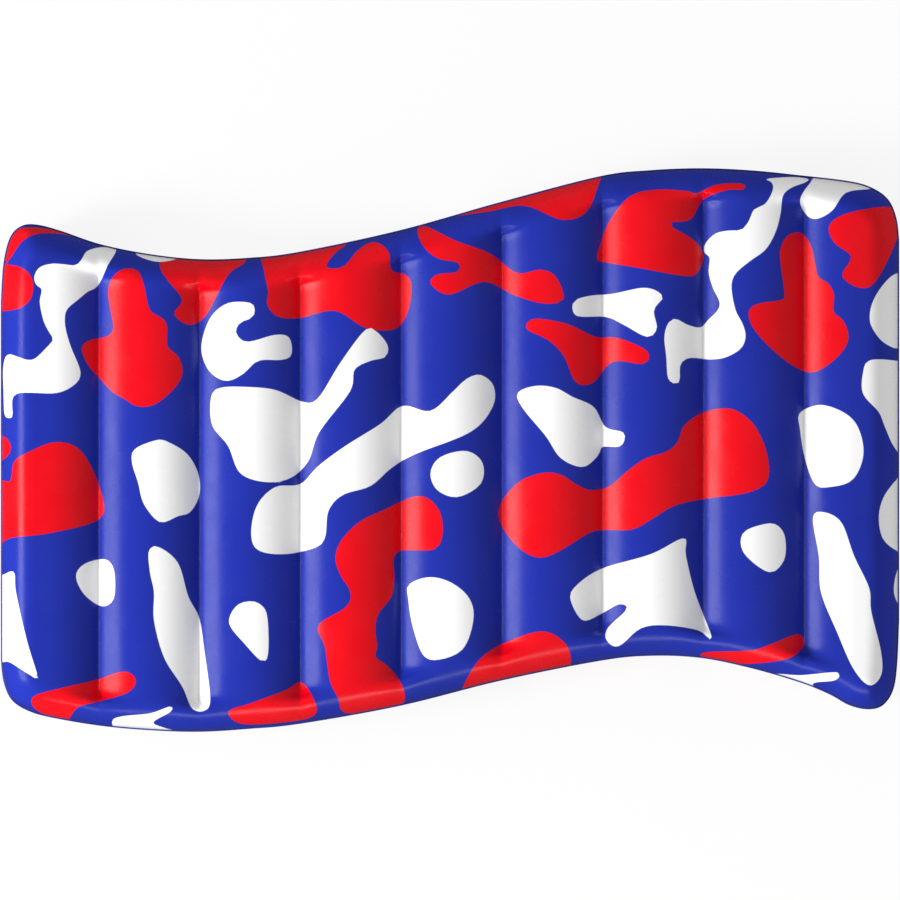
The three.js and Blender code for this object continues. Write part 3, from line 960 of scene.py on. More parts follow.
def mixed(
    tree: bpy.types.NodeTree, share: bpy.types.NodeSocket, first: object, second: object
) -> bpy.types.NodeSocket:
    """Mixes two colours, each a socket or a linear colour."""
    node = add_node(tree, "ShaderNodeMix", {0: share, 6: first, 7: second}, data_type="RGBA")
    return node.outputs[2]


def toned(code: str, share: float) -> tuple[float, float, float, float]:
    """A share of an sRGB hex colour's brightness, as a linear colour with alpha."""
    return (*(min(1.0, value * share) for value in colour(code)[:3]), 1.0)


def uneven_gloss(
    tree: bpy.types.NodeTree, shader: bpy.types.Node, grain: float, detail: float, low: float, high: float
) -> None:
    """Lets the roughness wander from one value to another over lumps of a given size."""
    gloss = mapped(tree, noise(tree, grain, detail), 0.3, 0.7, low, high)
    tree.links.new(gloss, shader.inputs["Roughness"])


def roughen(
    tree: bpy.types.NodeTree, shader: bpy.types.Node, height: bpy.types.NodeSocket, depth: float,
    under: bpy.types.NodeSocket | None = None,
) -> bpy.types.NodeSocket:
    """Raises the surface by a height, on top of any other relief, and gives the new normal."""
    inputs = {"Height": height, "Distance": depth, "Strength": 1}
    if under is not None:
        inputs["Normal"] = under
    normal = add_node(tree, "ShaderNodeBump", inputs).outputs["Normal"]
    tree.links.new(normal, shader.inputs["Normal"])
    return normal


@dataclass(frozen=True)
class PrintedVinyl:
    """Calendered PVC film, gravure-printed and lacquered: an even satin gloss with soft highlights.

    Attributes:
        blue: The ground colour.
        red: The red ink.
        white: The white ink.
        roughness: Gloss of the lacquer.
        mirror: How strongly it mirrors.
        ink_edge: Half the width over which ink fades out, in millimetres.
        peel: Grain of the film's faint unevenness.
    """

    blue: str = "#1B2B9B"
    red: str = "#D80012"
    white: str = "#EBEBEB"
    roughness: float = 0.27
    mirror: float = 0.27
    ink_edge: float = 0.7
    peel: float = 7 * MM

    def material(self) -> bpy.types.Material:
        """Builds the material. The inks' places come from the sheet's own attributes."""
        material, tree, shader = new_material(
            "printed_PVC_film", self.roughness, ior=FILM_IOR, mirror=self.mirror
        )
        shade = mapped(tree, noise(tree, 0.2), 0.3, 0.7, 0, 1)
        ground = mixed(tree, shade, toned(self.blue, 0.93), colour(self.blue))
        for name, ink in (("red_ink", self.red), ("white_ink", self.white)):
            depth = add_node(tree, "ShaderNodeAttribute", attribute_name=name).outputs["Fac"]
            share = mapped(tree, depth, -self.ink_edge, self.ink_edge, 0, 1, smooth=True)
            ground = mixed(tree, share, ground, colour(ink))
        tree.links.new(ground, shader.inputs["Base Color"])
        uneven_gloss(tree, shader, 0.06, 5, self.roughness - 0.04, self.roughness + 0.04)
        roughen(tree, shader, noise(tree, self.peel, 2), 0.06 * MM)
        return material


@dataclass(frozen=True)
class PlainVinyl:
    """PVC film in one colour, pressed matt where it was welded.

    Attributes:
        name: What it is.
        tone: Its colour.
        roughness: Its gloss.
        press: Grain that the welding bar's cloth left.
    """

    name: str
    tone: str
    roughness: float
    press: float = 1.2 * MM

    def material(self) -> bpy.types.Material:
        """Builds the material: slow changes of tone, with a pressed grain."""
        material, tree, shader = new_material(self.name, self.roughness, ior=FILM_IOR)
        shade = mapped(tree, noise(tree, 0.03, 4), 0.3, 0.7, 0, 1)
        ground = mixed(tree, shade, colour(self.tone), toned(self.tone, 1.12))
        tree.links.new(ground, shader.inputs["Base Color"])
        uneven_gloss(tree, shader, 0.008, 3, self.roughness - 0.06, self.roughness + 0.06)
        roughen(tree, shader, noise(tree, self.press, 2), 0.08 * MM)
        return material


@dataclass(frozen=True)
class MouldedPlastic:
    """Injection-moulded plastic or rubber: a fine spark-eroded grain, with dirt-soft tone changes.

    Attributes:
        name: What it is.
        tone: Its colour.
        roughness: Its gloss.
        ior: Index of refraction.
        grain: Grain of the mould's surface, drawn coarse enough to show.
    """

    name: str
    tone: str
    roughness: float
    ior: float = 1.49
    grain: float = 0.5 * MM

    def material(self) -> bpy.types.Material:
        """Builds the material."""
        material, tree, shader = new_material(self.name, self.roughness, ior=self.ior)
        shade = mapped(tree, noise(tree, 0.012, 4), 0.35, 0.7, 0, 1)
        ground = mixed(tree, shade, toned(self.tone, 0.86), colour(self.tone))
        tree.links.new(ground, shader.inputs["Base Color"])
        uneven_gloss(tree, shader, 0.005, 3, self.roughness - 0.07, self.roughness + 0.07)
        roughen(tree, shader, noise(tree, self.grain, 2), 0.03 * MM)
        return material


@dataclass(frozen=True)
class WovenWebbing:
    """Polypropylene webbing, plain-woven from flat yarns: ribbed across, with a soft sheen.

    Attributes:
        tone: The yarn's colour.
        light: The yarn's colour where it catches the light.
        yarn: Spacing of the yarns.
    """

    tone: str = "#16171A"
    light: str = "#34363C"
    yarn: float = 1.6 * MM

    def material(self) -> bpy.types.Material:
        """Builds the material on the strap's own UV map, which is in metres."""
        material, tree, shader = new_material("woven_polypropylene", 0.62, ior=1.49)
        shader.inputs["Sheen Weight"].default_value = 0.25
        place = add_node(tree, "ShaderNodeUVMap", uv_map="weave").outputs["UV"]
        heights = []
        for direction, phase in (("X", 0.0), ("Y", math.pi / 2)):
            inputs = {"Vector": place, "Scale": 0.314 / self.yarn, "Distortion": 0.3, "Phase Offset": phase}
            wave = add_node(
                tree, "ShaderNodeTexWave", inputs, wave_type="BANDS", bands_direction=direction
            )
            heights.append(wave.outputs["Fac"])
        inputs = {0: heights[0], 1: heights[1]}
        weave = add_node(tree, "ShaderNodeMath", inputs, operation="MULTIPLY").outputs[0]
        ground = mixed(tree, weave, colour(self.tone), colour(self.light))
        tree.links.new(ground, shader.inputs["Base Color"])
        normal = roughen(tree, shader, weave, 0.35 * MM)
        roughen(tree, shader, noise(tree, 0.4 * MM, 2), 0.05 * MM, under=normal)
        return material


@dataclass(frozen=True)
class DrawnSteel:
    """Stainless wire, drawn, bent and tumbled: bright, with fine scratches and slightly dull patches.

    Attributes:
        tone: The metal's colour.
        roughness: Its gloss.
    """

    tone: str = "#C9CBCE"
    roughness: float = 0.2

    def material(self) -> bpy.types.Material:
        """Builds the material."""
        material, tree, shader = new_material("stainless_steel", self.roughness, metallic=1)
        shade = mapped(tree, noise(tree, 0.01, 5), 0.4, 0.75, 0, 1)
        ground = mixed(tree, shade, colour(self.tone), toned(self.tone, 0.8))
        tree.links.new(ground, shader.inputs["Base Color"])
        uneven_gloss(tree, shader, 0.003, 6, self.roughness - 0.08, self.roughness + 0.12)
        roughen(tree, shader, noise(tree, 0.6 * MM, 4), 0.012 * MM)
        return material


# ---- Turned and bent pieces ----


Profile = Sequence[tuple[float, float]]


def turned(name: str, profile: Profile, segments: int = 64, edge: float = 0.3) -> bpy.types.Object:
    """Turns a profile about Z, ring by ring, and rounds its edges.

    Args:
        name: The piece's name.
        profile: (radius, z) in millimetres. A profile that ends where it starts is a ring. Any other
            one is closed with a flat disc at both ends.
        segments: Faces round the piece.
        edge: Width of the rounding, in millimetres.

    Returns:
        The piece, on the Z axis.
    """
    ring = profile[0] == profile[-1]
    radius, height = (value * MM for value in profile[0])
    deselect()
    fill = "NOTHING" if ring else "NGON"
    bpy.ops.mesh.primitive_circle_add(vertices=segments, radius=radius, fill_type=fill)
    obj = bpy.context.object
    obj.name = obj.data.name = name
    with editing(obj):
        bpy.ops.transform.translate(value=(0, 0, height))
        for (r0, z0), (r1, z1) in zip(profile, profile[1:]):
            step = {"value": (0, 0, (z1 - z0) * MM)}
            bpy.ops.mesh.extrude_region_move(TRANSFORM_OT_translate=step)
            bpy.ops.transform.resize(value=(r1 / r0, r1 / r0, 1), center_override=(0, 0, z1 * MM))
        bpy.ops.mesh.select_all(action="SELECT")
        bpy.ops.mesh.remove_doubles(threshold=0.005 * MM)
        bpy.ops.mesh.normals_make_consistent(inside=False)
    limit = math.radians(30)
    finish_with(obj, "BEVEL", width=edge * MM, segments=2, limit_method="ANGLE", angle_limit=limit)
    return obj


def ribbed(obj: bpy.types.Object, low: float, high: float, every: int, height: float) -> None:
    """Raises grip ribs round a turned piece.

    Args:
        obj: The piece, on the Z axis.
        low: Faces are taken whose middle is above this height, in millimetres.
        high: And below this one.
        every: One face in this many becomes a rib.
        height: How far a rib stands out, in millimetres.
    """
    activate(obj)
    with editing(obj):
        bpy.ops.mesh.select_all(action="DESELECT")
        bpy.ops.mesh.select_mode(type="FACE")
    sides = [
        face for face in obj.data.polygons
        if low < face.center.z / MM < high and abs(face.normal.z) < 0.2
        and face.normal.xy.dot(face.center.xy) > 0
    ]
    sides.sort(key=lambda face: math.atan2(face.center.y, face.center.x))
    for face in sides[::every]:
        face.select = True
    bpy.ops.object.mode_set(mode="EDIT")
    bpy.ops.mesh.inset(thickness=0.12 * MM, depth=height * MM, use_individual=True)
    bpy.ops.object.mode_set(mode="OBJECT")


def strap(
    name: str, path: np.ndarray, width: float, thickness: float, columns: int
) -> bpy.types.Object:
    """Makes a flat strap whose middle follows a path in the YZ plane.

    Args:
        name: The piece's name.
        path: (n, 2) places of its middle.
        width: Its width along X.
        thickness: Its thickness.
        columns: How many strips it is cut into across.

    Returns:
        The strap, with a UV map in metres.
    """
    across = np.linspace(-width / 2, width / 2, columns + 1)
    reached = np.concatenate([[0], np.cumsum(np.hypot(*np.diff(path, axis=0).T))])
    x, y = np.broadcast_arrays(across[:, None], path[None, :, 0])
    z = np.broadcast_to(path[None, :, 1], x.shape)
    points = np.stack([x, y, z], axis=2).reshape(-1, 3)
    obj = mesh_piece(name, points, grid_faces(columns + 1, len(path)))
    flat = np.stack(np.broadcast_arrays(across[:, None], reached[None]), axis=2).reshape(-1, 2)
    corners = np.empty(len(obj.data.loops), int)
    obj.data.loops.foreach_get("vertex_index", corners)
    obj.data.uv_layers.new(name="weave").data.foreach_set("uv", flat[corners].ravel())
    finish_with(obj, "SOLIDIFY", thickness=thickness, offset=0, use_even_offset=True)
    return obj


# ---- Valve ----


@dataclass
class Valve:
    """Screw valve: a base in the sheet, an insert in the base, a cap in the insert, and its tether.

    Profiles are (radius, z) in millimetres, with z measured out of the sheet along the valve's axis.

    Attributes:
        place: The valve's frame.
        plastic: The valve's own finish.
        soft: The tether's finish.
        rubber: The seal's and the flap's finish.
        tether_width: Width of the tether.
    """

    place: Matrix
    plastic: bpy.types.Material
    soft: bpy.types.Material
    rubber: bpy.types.Material
    tether_width: float = 5 * MM

    def _set(
        self, obj: bpy.types.Object, material: bpy.types.Material, slot: Slot, node: str
    ) -> bpy.types.Object:
        """Puts a piece in its place for the CAD node that it stands for."""
        obj.data.transform(self.place)
        dress(obj, material)
        smooth_edges(obj)
        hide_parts(node)
        return obj

    def neck(self) -> bpy.types.Object:
        """Weld flange and neck."""
        profile = [
            (14, -8), (25, -8), (26, -7.6), (26, -6.9), (25, -6.5), (18.5, -6.5), (17, -5), (17, 6),
            (14, 6), (14, -8),
        ]
        obj = self._set(turned("valve_neck", profile), self.plastic, Slot.VALVE_PLASTIC, "valve_base")
        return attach(obj, "mat")

    def seal(self) -> bpy.types.Object:
        """Rubber ring between the neck and the insert's head."""
        profile = [(14.2, 6.3), (17, 6.3), (17, 7.3), (14.2, 7.3), (14.2, 6.3)]
        obj = turned("valve_seal", profile)
        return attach(self._set(obj, self.rubber, Slot.SEAL_RUBBER, "insert_seal"), "seal")

    def insert(self) -> bpy.types.Object:
        """Insert with a ribbed head, a bore for the cap and a pierced floor."""
        profile = [
            (1.6, -6), (13.6, -6), (13.6, 7.6), (16.6, 7.6), (16.6, 10.6), (12, 10.6), (10.5, 9.8),
            (10.5, -4.4), (1.6, -4.4), (1.6, -6),
        ]
        obj = turned("valve_insert_body", profile, segments=72)
        ribbed(obj, 8, 10.3, every=2, height=0.35)
        for quarter in range(4):
            turn = Matrix.Rotation((quarter + 0.5) * math.pi / 2, 4, "Z")
            hole = Matrix.Translation(turn @ Vector((6 * MM, 0, -5.2 * MM)))
            drilled(obj, hole, radius=2.6 * MM, depth=4 * MM, segments=24)
        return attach(self._set(obj, self.plastic, Slot.VALVE_PLASTIC, "valve_insert"), "insert")

    def tether_end(self) -> bpy.types.Object:
        """Swivel ring under the cap's head, with the tab that the tether joins."""
        profile = [(10.6, 10.9), (16.5, 10.9), (16.5, 11.9), (10.6, 11.9), (10.6, 10.9)]
        obj = turned("tether_swivel", profile, edge=0.2)
        tab = block((5, 5, 1))
        tab.data.transform(Matrix.Translation((0, 18 * MM, 11.4 * MM)))
        finish_with(tab, "BEVEL", width=0.2 * MM, segments=2)
        join(obj, [tab])
        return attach(self._set(obj, self.soft, Slot.TETHER_PLASTIC, "tether_ring"), "tether_end")

    def tether(self) -> bpy.types.Object:
        """Strap that leaves the insert's head and folds back to the swivel ring's tab."""
        start_y, fold_y, end_y = 17.1, 24, 20.6
        low_z, high_z = 9.0, 11.4
        radius, middle_z = (high_z - low_z) / 2, (high_z + low_z) / 2
        turn = np.linspace(-math.pi / 2, math.pi / 2, 13)
        bend = np.stack([fold_y + radius * np.cos(turn), middle_z + radius * np.sin(turn)], axis=1)
        legs = np.linspace(start_y, fold_y, 6)[:-1]
        low = np.stack([legs, np.full_like(legs, low_z)], axis=1)
        back = np.linspace(fold_y, end_y, 4)[1:]
        high = np.stack([back, np.full_like(back, high_z)], axis=1)
        path = np.vstack([low, bend, high]) * MM
        obj = strap("cap_strap", path, self.tether_width, 1 * MM, columns=4)
        finish_with(obj, "BEVEL", width=0.2 * MM, segments=2, limit_method="ANGLE")
        obj = self._set(obj, self.soft, Slot.TETHER_PLASTIC, "cap_tether")
        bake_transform(obj)
        return obj

    def cap(self) -> bpy.types.Object:
        """Cap with a hollow plug, a ribbed head and a finger bar."""
        profile = [
            (8.4, 13.4), (8.4, 0.5), (9.8, 0.5), (10.1, 1), (10.1, 12.2), (17.5, 12.2), (17.5, 14.6),
            (16.6, 15.8), (14, 16.2), (13, 15.6), (0.5, 15.6),
        ]
        obj = turned("valve_cap_body", profile, segments=72)
        ribbed(obj, 12.6, 14.4, every=2, height=0.45)
        bar_half, bar_top = 12.8, 19.2
        bar = block((2 * bar_half, 5, 4.2))
        bar.data.transform(Matrix.Translation((0, 0, 17.1 * MM)))
        with editing(bar):
            bpy.ops.mesh.subdivide(number_cuts=5)
        for vertex in bar.data.vertices:
            x, y, z = vertex.co / MM
            outwards = (x / bar_half) ** 2
            vertex.co.y = y * (0.72 + 0.28 * outwards) * MM
            vertex.co.z = min(z, bar_top - 0.6 * outwards) * MM
        finish_with(bar, "BEVEL", width=0.6 * MM, segments=3, limit_method="ANGLE", angle_limit=0.9)
        join(obj, [bar])
        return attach(self._set(obj, self.plastic, Slot.VALVE_PLASTIC, "valve_cap"), "cap")

    def build(self) -> list[bpy.types.Object]:
        """Builds the whole valve. The flap, inside it, keeps its CAD shape."""
        dress(cad_node("valve_flap"), self.rubber)
        return [
            self.neck(), self.seal(), self.insert(), self.tether_end(), self.tether(), self.cap(),
        ]


# ---- Tow fitting ----


@dataclass
class TowFitting:
    """Patch, webbing loop and D-ring under the front roll.

    Its frame's X runs along the edge and its -Y points out of the mat. Angles are degrees below the
    horizontal, round the roll. Lengths are in metres.

    Attributes:
        roll: Radius of the roll.
        rim: Half the gap between the two sheets at the seam.
        patch_angles: Where the patch starts and ends.
        patch_width: Its width along the edge.
        patch_corner: Radius of its corners.
        patch_film: Its thickness.
        patch_border: Width of its welded border.
        leg_angles: Where the strap's legs start and end.
        strap_width: Width of the webbing.
        strap_thickness: Its thickness.
        leg_out: How far off the sheet the middle of each of the strap's two layers is.
        eye_angle: Where the ring's bar lies.
        eye_out: How far off the sheet it lies.
        wire: Radius of the ring's wire.
        ring_half: Half the ring's width.
        ring_side: Length of its straight sides.
        ring_bend: Radius of its two corners.
        place: The frame.
    """

    roll: float
    rim: float
    patch_angles: tuple[float, float] = (13, 63)
    patch_width: float = 74 * MM
    patch_corner: float = 12 * MM
    patch_film: float = 0.9 * MM
    patch_border: float = 5 * MM
    leg_angles: tuple[float, float] = (60, 30)
    strap_width: float = 34 * MM
    strap_thickness: float = 1.25 * MM
    leg_out: tuple[float, float] = (2.65 * MM, 3.95 * MM)
    eye_angle: float = 24
    eye_out: float = 6.7 * MM
    wire: float = 2.5 * MM
    ring_half: float = 21 * MM
    ring_side: float = 10 * MM
    ring_bend: float = 4 * MM
    place: Matrix = field(init=False)

    def hang_on(self, hinge: Vector, edge: Vector) -> None:
        """Places the fitting so that the ring's bar lies on its hinge.

        Args:
            hinge: A point on the hinge, in the middle of the bar.
            edge: Which way the mat's edge runs there.
        """
        turn = Matrix((edge, UP.cross(edge), UP)).transposed().to_4x4()
        self.place = Matrix.Translation(hinge - turn @ Vector((0, *self._eye()))) @ turn

    def on_roll(self, degrees: np.ndarray, out: np.ndarray) -> np.ndarray:
        """Places off the roll's underside, as (n, 2) Y and Z in the fitting's frame."""
        angle = np.radians(degrees)
        y = self.roll - (self.roll + out) * np.cos(angle)
        z = -self.rim - (self.roll - self.rim + out) * np.sin(angle)
        return np.stack(np.broadcast_arrays(y, z), axis=-1)

    def patch(self, material: bpy.types.Material) -> bpy.types.Object:
        """Rounded vinyl patch, pressed down along its border where it is welded."""
        half, corner = self.patch_width / 2, self.patch_corner
        inner = np.linspace(0, half - self.patch_border, 14)
        outer = half - self.patch_border * np.array([0.8, 0.62, 0.4, 0.2, 0])
        side = np.concatenate([inner, outer])
        x = np.concatenate([-side[:0:-1], side])
        first, last = self.patch_angles
        reach = np.maximum(abs(x) - (half - corner), 0)
        trim = np.degrees((corner - np.sqrt(np.maximum(corner**2 - reach**2, 0))) / self.roll)
        near = np.linspace(0, 0.06, 5)
        share = np.concatenate([near, np.linspace(0.06, 0.94, 21)[1:-1], 1 - near[::-1]])
        angle = (first + trim)[:, None] * (1 - share) + (last - trim)[:, None] * share
        length = math.radians(last - first) * self.roll
        from_border = np.minimum(half - abs(x)[:, None], np.minimum(share, 1 - share) * length)
        pressed, raised = 1.0 * MM, 0.45 * MM
        out = pressed + raised * smoothstep(3.1 * MM, 4.2 * MM, from_border)
        across = np.broadcast_to(x[:, None], angle.shape)
        points = np.concatenate([across[..., None], self.on_roll(angle, out)], axis=2)
        obj = mesh_piece("tow_patch_vinyl", points.reshape(-1, 3), grid_faces(len(x), len(share)))
        finish_with(obj, "SOLIDIFY", thickness=self.patch_film, offset=1)
        return self._set(obj, material, Slot.PATCH_VINYL, "tow_patch", "mat")

    def _eye(self) -> np.ndarray:
        """Middle of the ring's bar, as Y and Z."""
        return self.on_roll(np.array(self.eye_angle), np.array(self.eye_out))

    def loop(self, material: bpy.types.Material) -> bpy.types.Object:
        """Webbing strap, folded round the ring's bar, with both legs sewn down."""
        eye = self._eye()
        legs = np.linspace(*self.leg_angles, 12)
        lower = self.on_roll(legs, np.array(self.leg_out[0]))
        upper = self.on_roll(legs[::-1], np.array(self.leg_out[1]))
        run = eye - lower[-1]
        start = math.atan2(-run[0], run[1])
        turn = np.linspace(start, start + math.pi, 20)
        radius = self.wire + 0.5 * self.strap_thickness + 0.2 * MM
        bend = eye + radius * np.stack([np.cos(turn), np.sin(turn)], axis=1)
        path = np.vstack([lower, bend, upper])
        obj = strap("tow_strap", path, self.strap_width, self.strap_thickness, columns=20)
        return self._set(obj, material, Slot.WEBBING, "tow_loop", "mat")

    def _sewn_box(self) -> list[tuple[float, float, float]]:
        """Each stitch of a crossed box, as its X, its angle on the roll and its turn in degrees."""
        gap = 3.4 * MM
        half = self.strap_width / 2 - 3.5 * MM
        low, high = self.leg_angles[1] + 4, self.leg_angles[0] - 3
        height = math.radians(high - low) * self.roll
        columns, rows = int(2 * half / gap), int(height / gap)
        places = []
        for i in range(columns):
            x = -half + (i + 0.5) * 2 * half / columns
            places += [(x, low, 0.0), (x, high, 0.0)]
        for i in range(rows):
            angle = low + (i + 0.5) * (high - low) / rows
            places += [(-half, angle, 90.0), (half, angle, 90.0)]
        slope = math.degrees(math.atan2(height, 2 * half))
        diagonal = rows + 4
        for i in range(diagonal):
            share = (i + 0.5) / diagonal
            x, angle = half * (2 * share - 1), low + share * (high - low)
            places += [(x, angle, slope), (-x, angle, -slope)]
        return places

    def stitches(self, material: bpy.types.Material) -> bpy.types.Object:
        """Thread of the sewn box on the outer leg."""
        stitch_size = (1.3 * MM, 0.35 * MM, 0.3 * MM)
        out = self.leg_out[1] + 0.5 * self.strap_thickness
        deselect()
        bpy.ops.mesh.primitive_uv_sphere_add(segments=8, ring_count=6, radius=1)
        stitch = bpy.context.object
        stitch.data.transform(Matrix.Diagonal((*stitch_size, 1)))
        made = []
        for x, angle, turn in self._sewn_box():
            y, z = self.on_roll(np.array(angle), np.array(out))
            upright = Matrix.Rotation(math.radians(90 + angle), 4, "X")
            upright @= Matrix.Rotation(math.radians(turn), 4, "Z")
            copy = stitch.copy()
            copy.data = stitch.data.copy()
            bpy.context.collection.objects.link(copy)
            copy.data.transform(Matrix.Translation((x, float(y), float(z))) @ upright)
            made.append(copy)
        bpy.data.objects.remove(stitch, do_unlink=True)
        join(made[0], made[1:])
        made[0].name = made[0].data.name = "tow_stitches"
        return self._set(made[0], material, Slot.WEBBING, None, "mat")

    def ring(self, material: bpy.types.Material) -> bpy.types.Object:
        """D-ring of round wire, hanging from its bar."""
        half, side, bend = self.ring_half, self.ring_side, self.ring_bend
        about = {"axis": (0, -1, 0), "dupli": False}
        deselect()
        bpy.ops.mesh.primitive_circle_add(vertices=24, radius=self.wire, fill_type="NOTHING")
        obj = bpy.context.object
        obj.name = obj.data.name = "tow_ring_wire"
        with editing(obj):
            bpy.ops.transform.translate(value=(half, 0, -bend))
            bpy.ops.mesh.extrude_region_move(TRANSFORM_OT_translate={"value": (0, 0, bend - side)})
            bpy.ops.mesh.spin(steps=40, angle=math.pi, center=(0, 0, -side), **about)
            bpy.ops.mesh.extrude_region_move(TRANSFORM_OT_translate={"value": (0, 0, side - bend)})
            bpy.ops.mesh.spin(steps=10, angle=math.pi / 2, center=(bend - half, 0, -bend), **about)
            bpy.ops.mesh.extrude_region_move(TRANSFORM_OT_translate={"value": (2 * (half - bend), 0, 0)})
            bpy.ops.mesh.spin(steps=10, angle=math.pi / 2, center=(half - bend, 0, -bend), **about)
            bpy.ops.mesh.select_all(action="SELECT")
            bpy.ops.mesh.remove_doubles(threshold=0.01 * MM)
            bpy.ops.mesh.normals_make_consistent(inside=False)
        y, z = self._eye()
        obj.data.transform(Matrix.Translation((0, float(y), float(z))))
        return self._set(obj, material, Slot.RING_STEEL, "tow_ring", "ring")

    def _set(
        self, obj: bpy.types.Object, material: bpy.types.Material, slot: Slot, node: str | None, body: str
    ) -> bpy.types.Object:
        """Puts a piece in its place on its body, for the CAD node that it stands for."""
        obj.data.transform(self.place)
        dress(obj, material)
        smooth_edges(obj)
        if node:
            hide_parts(node)
        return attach(obj, body)


# ---- Studio ----


@dataclass
class Studio:
    """Camera straight above, pale floor, a soft key light from the left and a lower one in front.

    Attributes:
        seam_height: Height of the seam over the floor.
        view_height: Height of the camera.
        view_plane: How far over the seam the view is as wide as it is meant to be.
        view_width: Width of the view there.
        floor_size: Side of the floor.
        floor_tone: Its colour.
        floor_glow: Its own brightness, which hides most of the mat's shadow.
        key: Power of the light on the left, in watts, as matt surfaces see it.
        key_size: Its size.
        key_sheen: Power of the larger light in the same place, which draws the soft highlights.
        sheen_size: That light's size.
        key_place: Where both are.
        front: Power of the light in front.
        front_size: Its size.
        front_place: Where it is.
        backdrop: Brightness of what shows beyond the floor.
        sky: Brightness of the surroundings, as matt surfaces see them.
        mirrored_sky: Brightness of what gloss reflects of them.
    """

    seam_height: float
    view_height: float = 40.0
    view_plane: float = 0.03
    view_width: float = 1.8
    floor_size: float = 60.0
    floor_tone: str = "#595959"
    floor_glow: float = 0.87
    key: float = 690.0
    key_size: tuple[float, float] = (2.4, 2.4)
    key_sheen: float = 390.0
    sheen_size: tuple[float, float] = (4.2, 4.2)
    key_place: tuple[float, float, float] = (-7.9, -1.6, 4.3)
    front: float = 20.0
    front_size: tuple[float, float] = (3.0, 0.8)
    front_place: tuple[float, float, float] = (0.0, -3.2, 0.9)
    backdrop: float = 0.93
    sky: float = 0.64
    mirrored_sky: float = 0.05

    def camera(self) -> None:
        """Puts the camera over the middle of the mat."""
        data = bpy.data.cameras.new("camera")
        data.sensor_width = 36
        distance = self.view_height - self.seam_height - self.view_plane
        data.lens = data.sensor_width * distance / self.view_width
        data.clip_end = 100
        camera = bpy.data.objects.new("camera", data)
        camera.location = (0, 0, self.view_height)
        bpy.context.collection.objects.link(camera)
        bpy.context.scene.camera = camera

    def floor(self) -> None:
        """Pale floor under the mat, which gloss doesn't mirror."""
        deselect()
        bpy.ops.mesh.primitive_plane_add(size=self.floor_size)
        floor = bpy.context.object
        floor.name = "floor"
        material, tree, shader = new_material("pale_floor", 0.9)
        shader.inputs["Base Color"].default_value = colour(self.floor_tone)
        shader.inputs["Specular IOR Level"].default_value = 0
        shader.inputs["Emission Color"].default_value = (1, 1, 1, 1)
        shader.inputs["Emission Strength"].default_value = self.floor_glow
        floor.data.materials.append(material)
        floor.visible_glossy = False

    def softbox(
        self, name: str, place: tuple[float, float, float], size: tuple[float, float], power: float,
        mirrored: bool = True,
    ) -> None:
        """Hangs an elliptic light that faces the middle of the mat, mirrored in gloss or not."""
        data = bpy.data.lights.new(name, "AREA")
        data.shape = "ELLIPSE"
        data.size, data.size_y = size
        data.energy = power
        light = bpy.data.objects.new(name, data)
        light.location = place
        light.visible_glossy = mirrored
        to_mat = Vector((0, 0, self.seam_height)) - Vector(place)
        light.rotation_euler = to_mat.to_track_quat("-Z", "Y").to_euler()
        bpy.context.collection.objects.link(light)

    def surroundings(self) -> None:
        """Even pale surroundings, which gloss sees as a dim room."""
        world = bpy.data.worlds.new("studio")
        world.use_nodes = True
        tree = world.node_tree
        ray = add_node(tree, "ShaderNodeLightPath")
        strength = mapped(tree, ray.outputs["Is Glossy Ray"], 0, 1, self.sky, self.mirrored_sky)
        strength = mapped(tree, ray.outputs["Is Camera Ray"], 0, 1, strength, self.backdrop)
        inputs = {"Color": (1, 1, 1, 1), "Strength": strength}
        background = add_node(tree, "ShaderNodeBackground", inputs)
        tree.links.new(background.outputs[0], tree.nodes["World Output"].inputs[0])
        bpy.context.scene.world = world

    def build(self) -> None:
        """Sets up the lights, the floor and how the picture is shown."""
        self.floor()
        self.softbox("key", self.key_place, self.key_size, self.key, mirrored=False)
        self.softbox("sheen", self.key_place, self.sheen_size, self.key_sheen)
        self.softbox("front", self.front_place, self.front_size, self.front)
        self.surroundings()
        bpy.context.scene.view_settings.view_transform = "Standard"


# ---- Assembly ----


def cad_node(name: str) -> bpy.types.Object:
    """A CAD node's object."""
    return FRAME["nodes"][name]


def joint_place(name: str) -> tuple[Vector, Vector]:
    """Where a hinge lies: a point on its axis, and the axis."""
    joint = next(j for j in FRAME["record"]["behaviour"]["joints"] if j["name"] == name)
    return Vector(joint["pos_m"]), Vector(joint["axis"]).normalized()


def valve_place() -> Matrix:
    """The valve's frame: its Z points out along the hinges' axis, its Y stays level."""
    origin, outwards = joint_place("insert_turn")
    level = Vector((0, 1, 0))
    turn = Matrix((level.cross(outwards), level, outwards)).transposed()
    return Matrix.Translation(origin) @ turn.to_4x4()


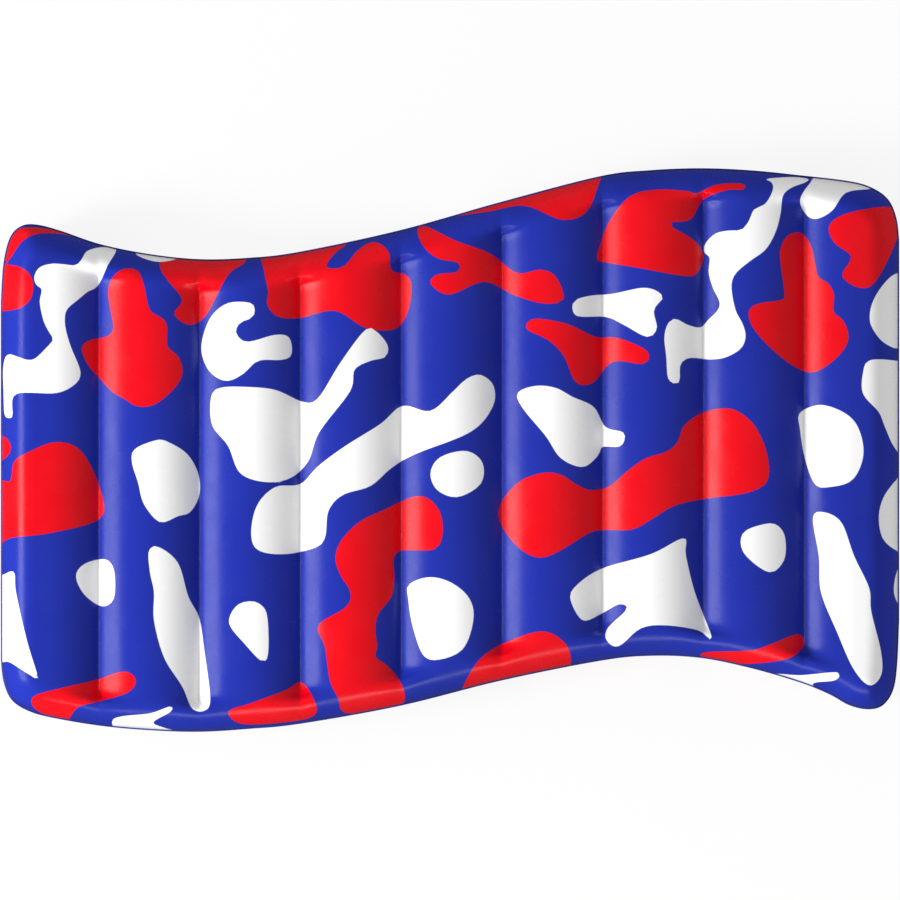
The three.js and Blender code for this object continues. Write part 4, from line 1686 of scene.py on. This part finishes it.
def build_mat(section: MatSection, valve_frame: Matrix, seam_height: float) -> list[bpy.types.Object]:
    """Builds the sheets and the weld, and dresses the webs.

    Args:
        section: The inflated shape.
        valve_frame: The valve's frame, where the bottom sheet has a hole.
        seam_height: Height of the seam over the floor.

    Returns:
        The sheets and the weld.
    """
    mat = AirMat(section.plan, section, seam_height)
    printing = CamouflagePrint(section.plan, section.reach)
    film = PrintedVinyl().material()
    pieces = []
    for name, side, node in (
        ("top_sheet", Side.TOP, "top_skin"), ("bottom_sheet", Side.BOTTOM, "bottom_skin")
    ):
        sheet = mat.sheet(name, side)
        if side is Side.BOTTOM:
            drilled(sheet, valve_frame, VALVE_HOLE_RADIUS, depth=40 * MM, segments=64)
        printing.apply(sheet, side)
        dress(sheet, film)
        smooth_edges(sheet, 60)
        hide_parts(node)
        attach(sheet, "mat")
        pieces.append(sheet)

    weld = mat.weld("edge_weld")
    dress(weld, PlainVinyl("welded_PVC_film", "#1A2884", 0.4).material())
    smooth_edges(weld, 50)
    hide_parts("perimeter_seam")
    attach(weld, "mat")
    web_film = PlainVinyl("white_PVC_film", "#DADCE0", 0.45).material()
    for web in WEBS:
        dress(cad_node(web), web_film)
    return [*pieces, weld]


def build_tow(tow: TowFitting) -> list[bpy.types.Object]:
    """Builds the tow fitting's pieces in their materials."""
    webbing = WovenWebbing().material()
    return [
        tow.patch(PlainVinyl("patch_PVC_film", "#1B2A90", 0.42).material()),
        tow.loop(webbing),
        tow.stitches(MouldedPlastic("polyester_thread", "#2A2C31", 0.7, grain=0.3 * MM).material()),
        tow.ring(DrawnSteel().material()),
    ]


def main() -> None:
    """Builds the mat and its fittings, dresses them and sets up the studio."""
    logging.basicConfig(level=logging.INFO, format="%(name)s: %(message)s")
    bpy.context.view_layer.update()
    _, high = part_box("top_skin")
    seam_height = centre_of("perimeter_seam").z
    crest = Vector(high).z - seam_height
    studio = Studio(seam_height)
    studio.camera()

    valve_at, _ = joint_place("insert_turn")
    eye, hinge = joint_place("tow_ring_swing")
    spots = [
        StiffSpot(valve_at.x, valve_at.y, held=0.035, free=0.09),
        StiffSpot(eye.x, eye.y, held=0.075, free=0.15),
    ]
    creases = [centre_of(web).x for web in WEBS]
    section = MatSection(MatPlan(), creases, crest, WEB_HALF_HEIGHT, spots)
    valve_frame = valve_place()
    pieces = build_mat(section, valve_frame, seam_height)

    valve = Valve(
        valve_frame,
        plastic=MouldedPlastic("moulded_PVC", "#BCC2C8", 0.38).material(),
        soft=MouldedPlastic("soft_PVC", "#B4BAC2", 0.45).material(),
        rubber=MouldedPlastic("nitrile_rubber", "#1C1D20", 0.6, ior=1.52).material(),
    )
    tow = TowFitting(crest, section.rim)
    tow.hang_on(eye, -hinge)
    pieces += valve.build() + build_tow(tow)
    for piece in pieces:
        LOG.info("%s: %d faces", piece.name, len(piece.data.polygons))

    studio.build()


if __name__ == "__main__":
    main()
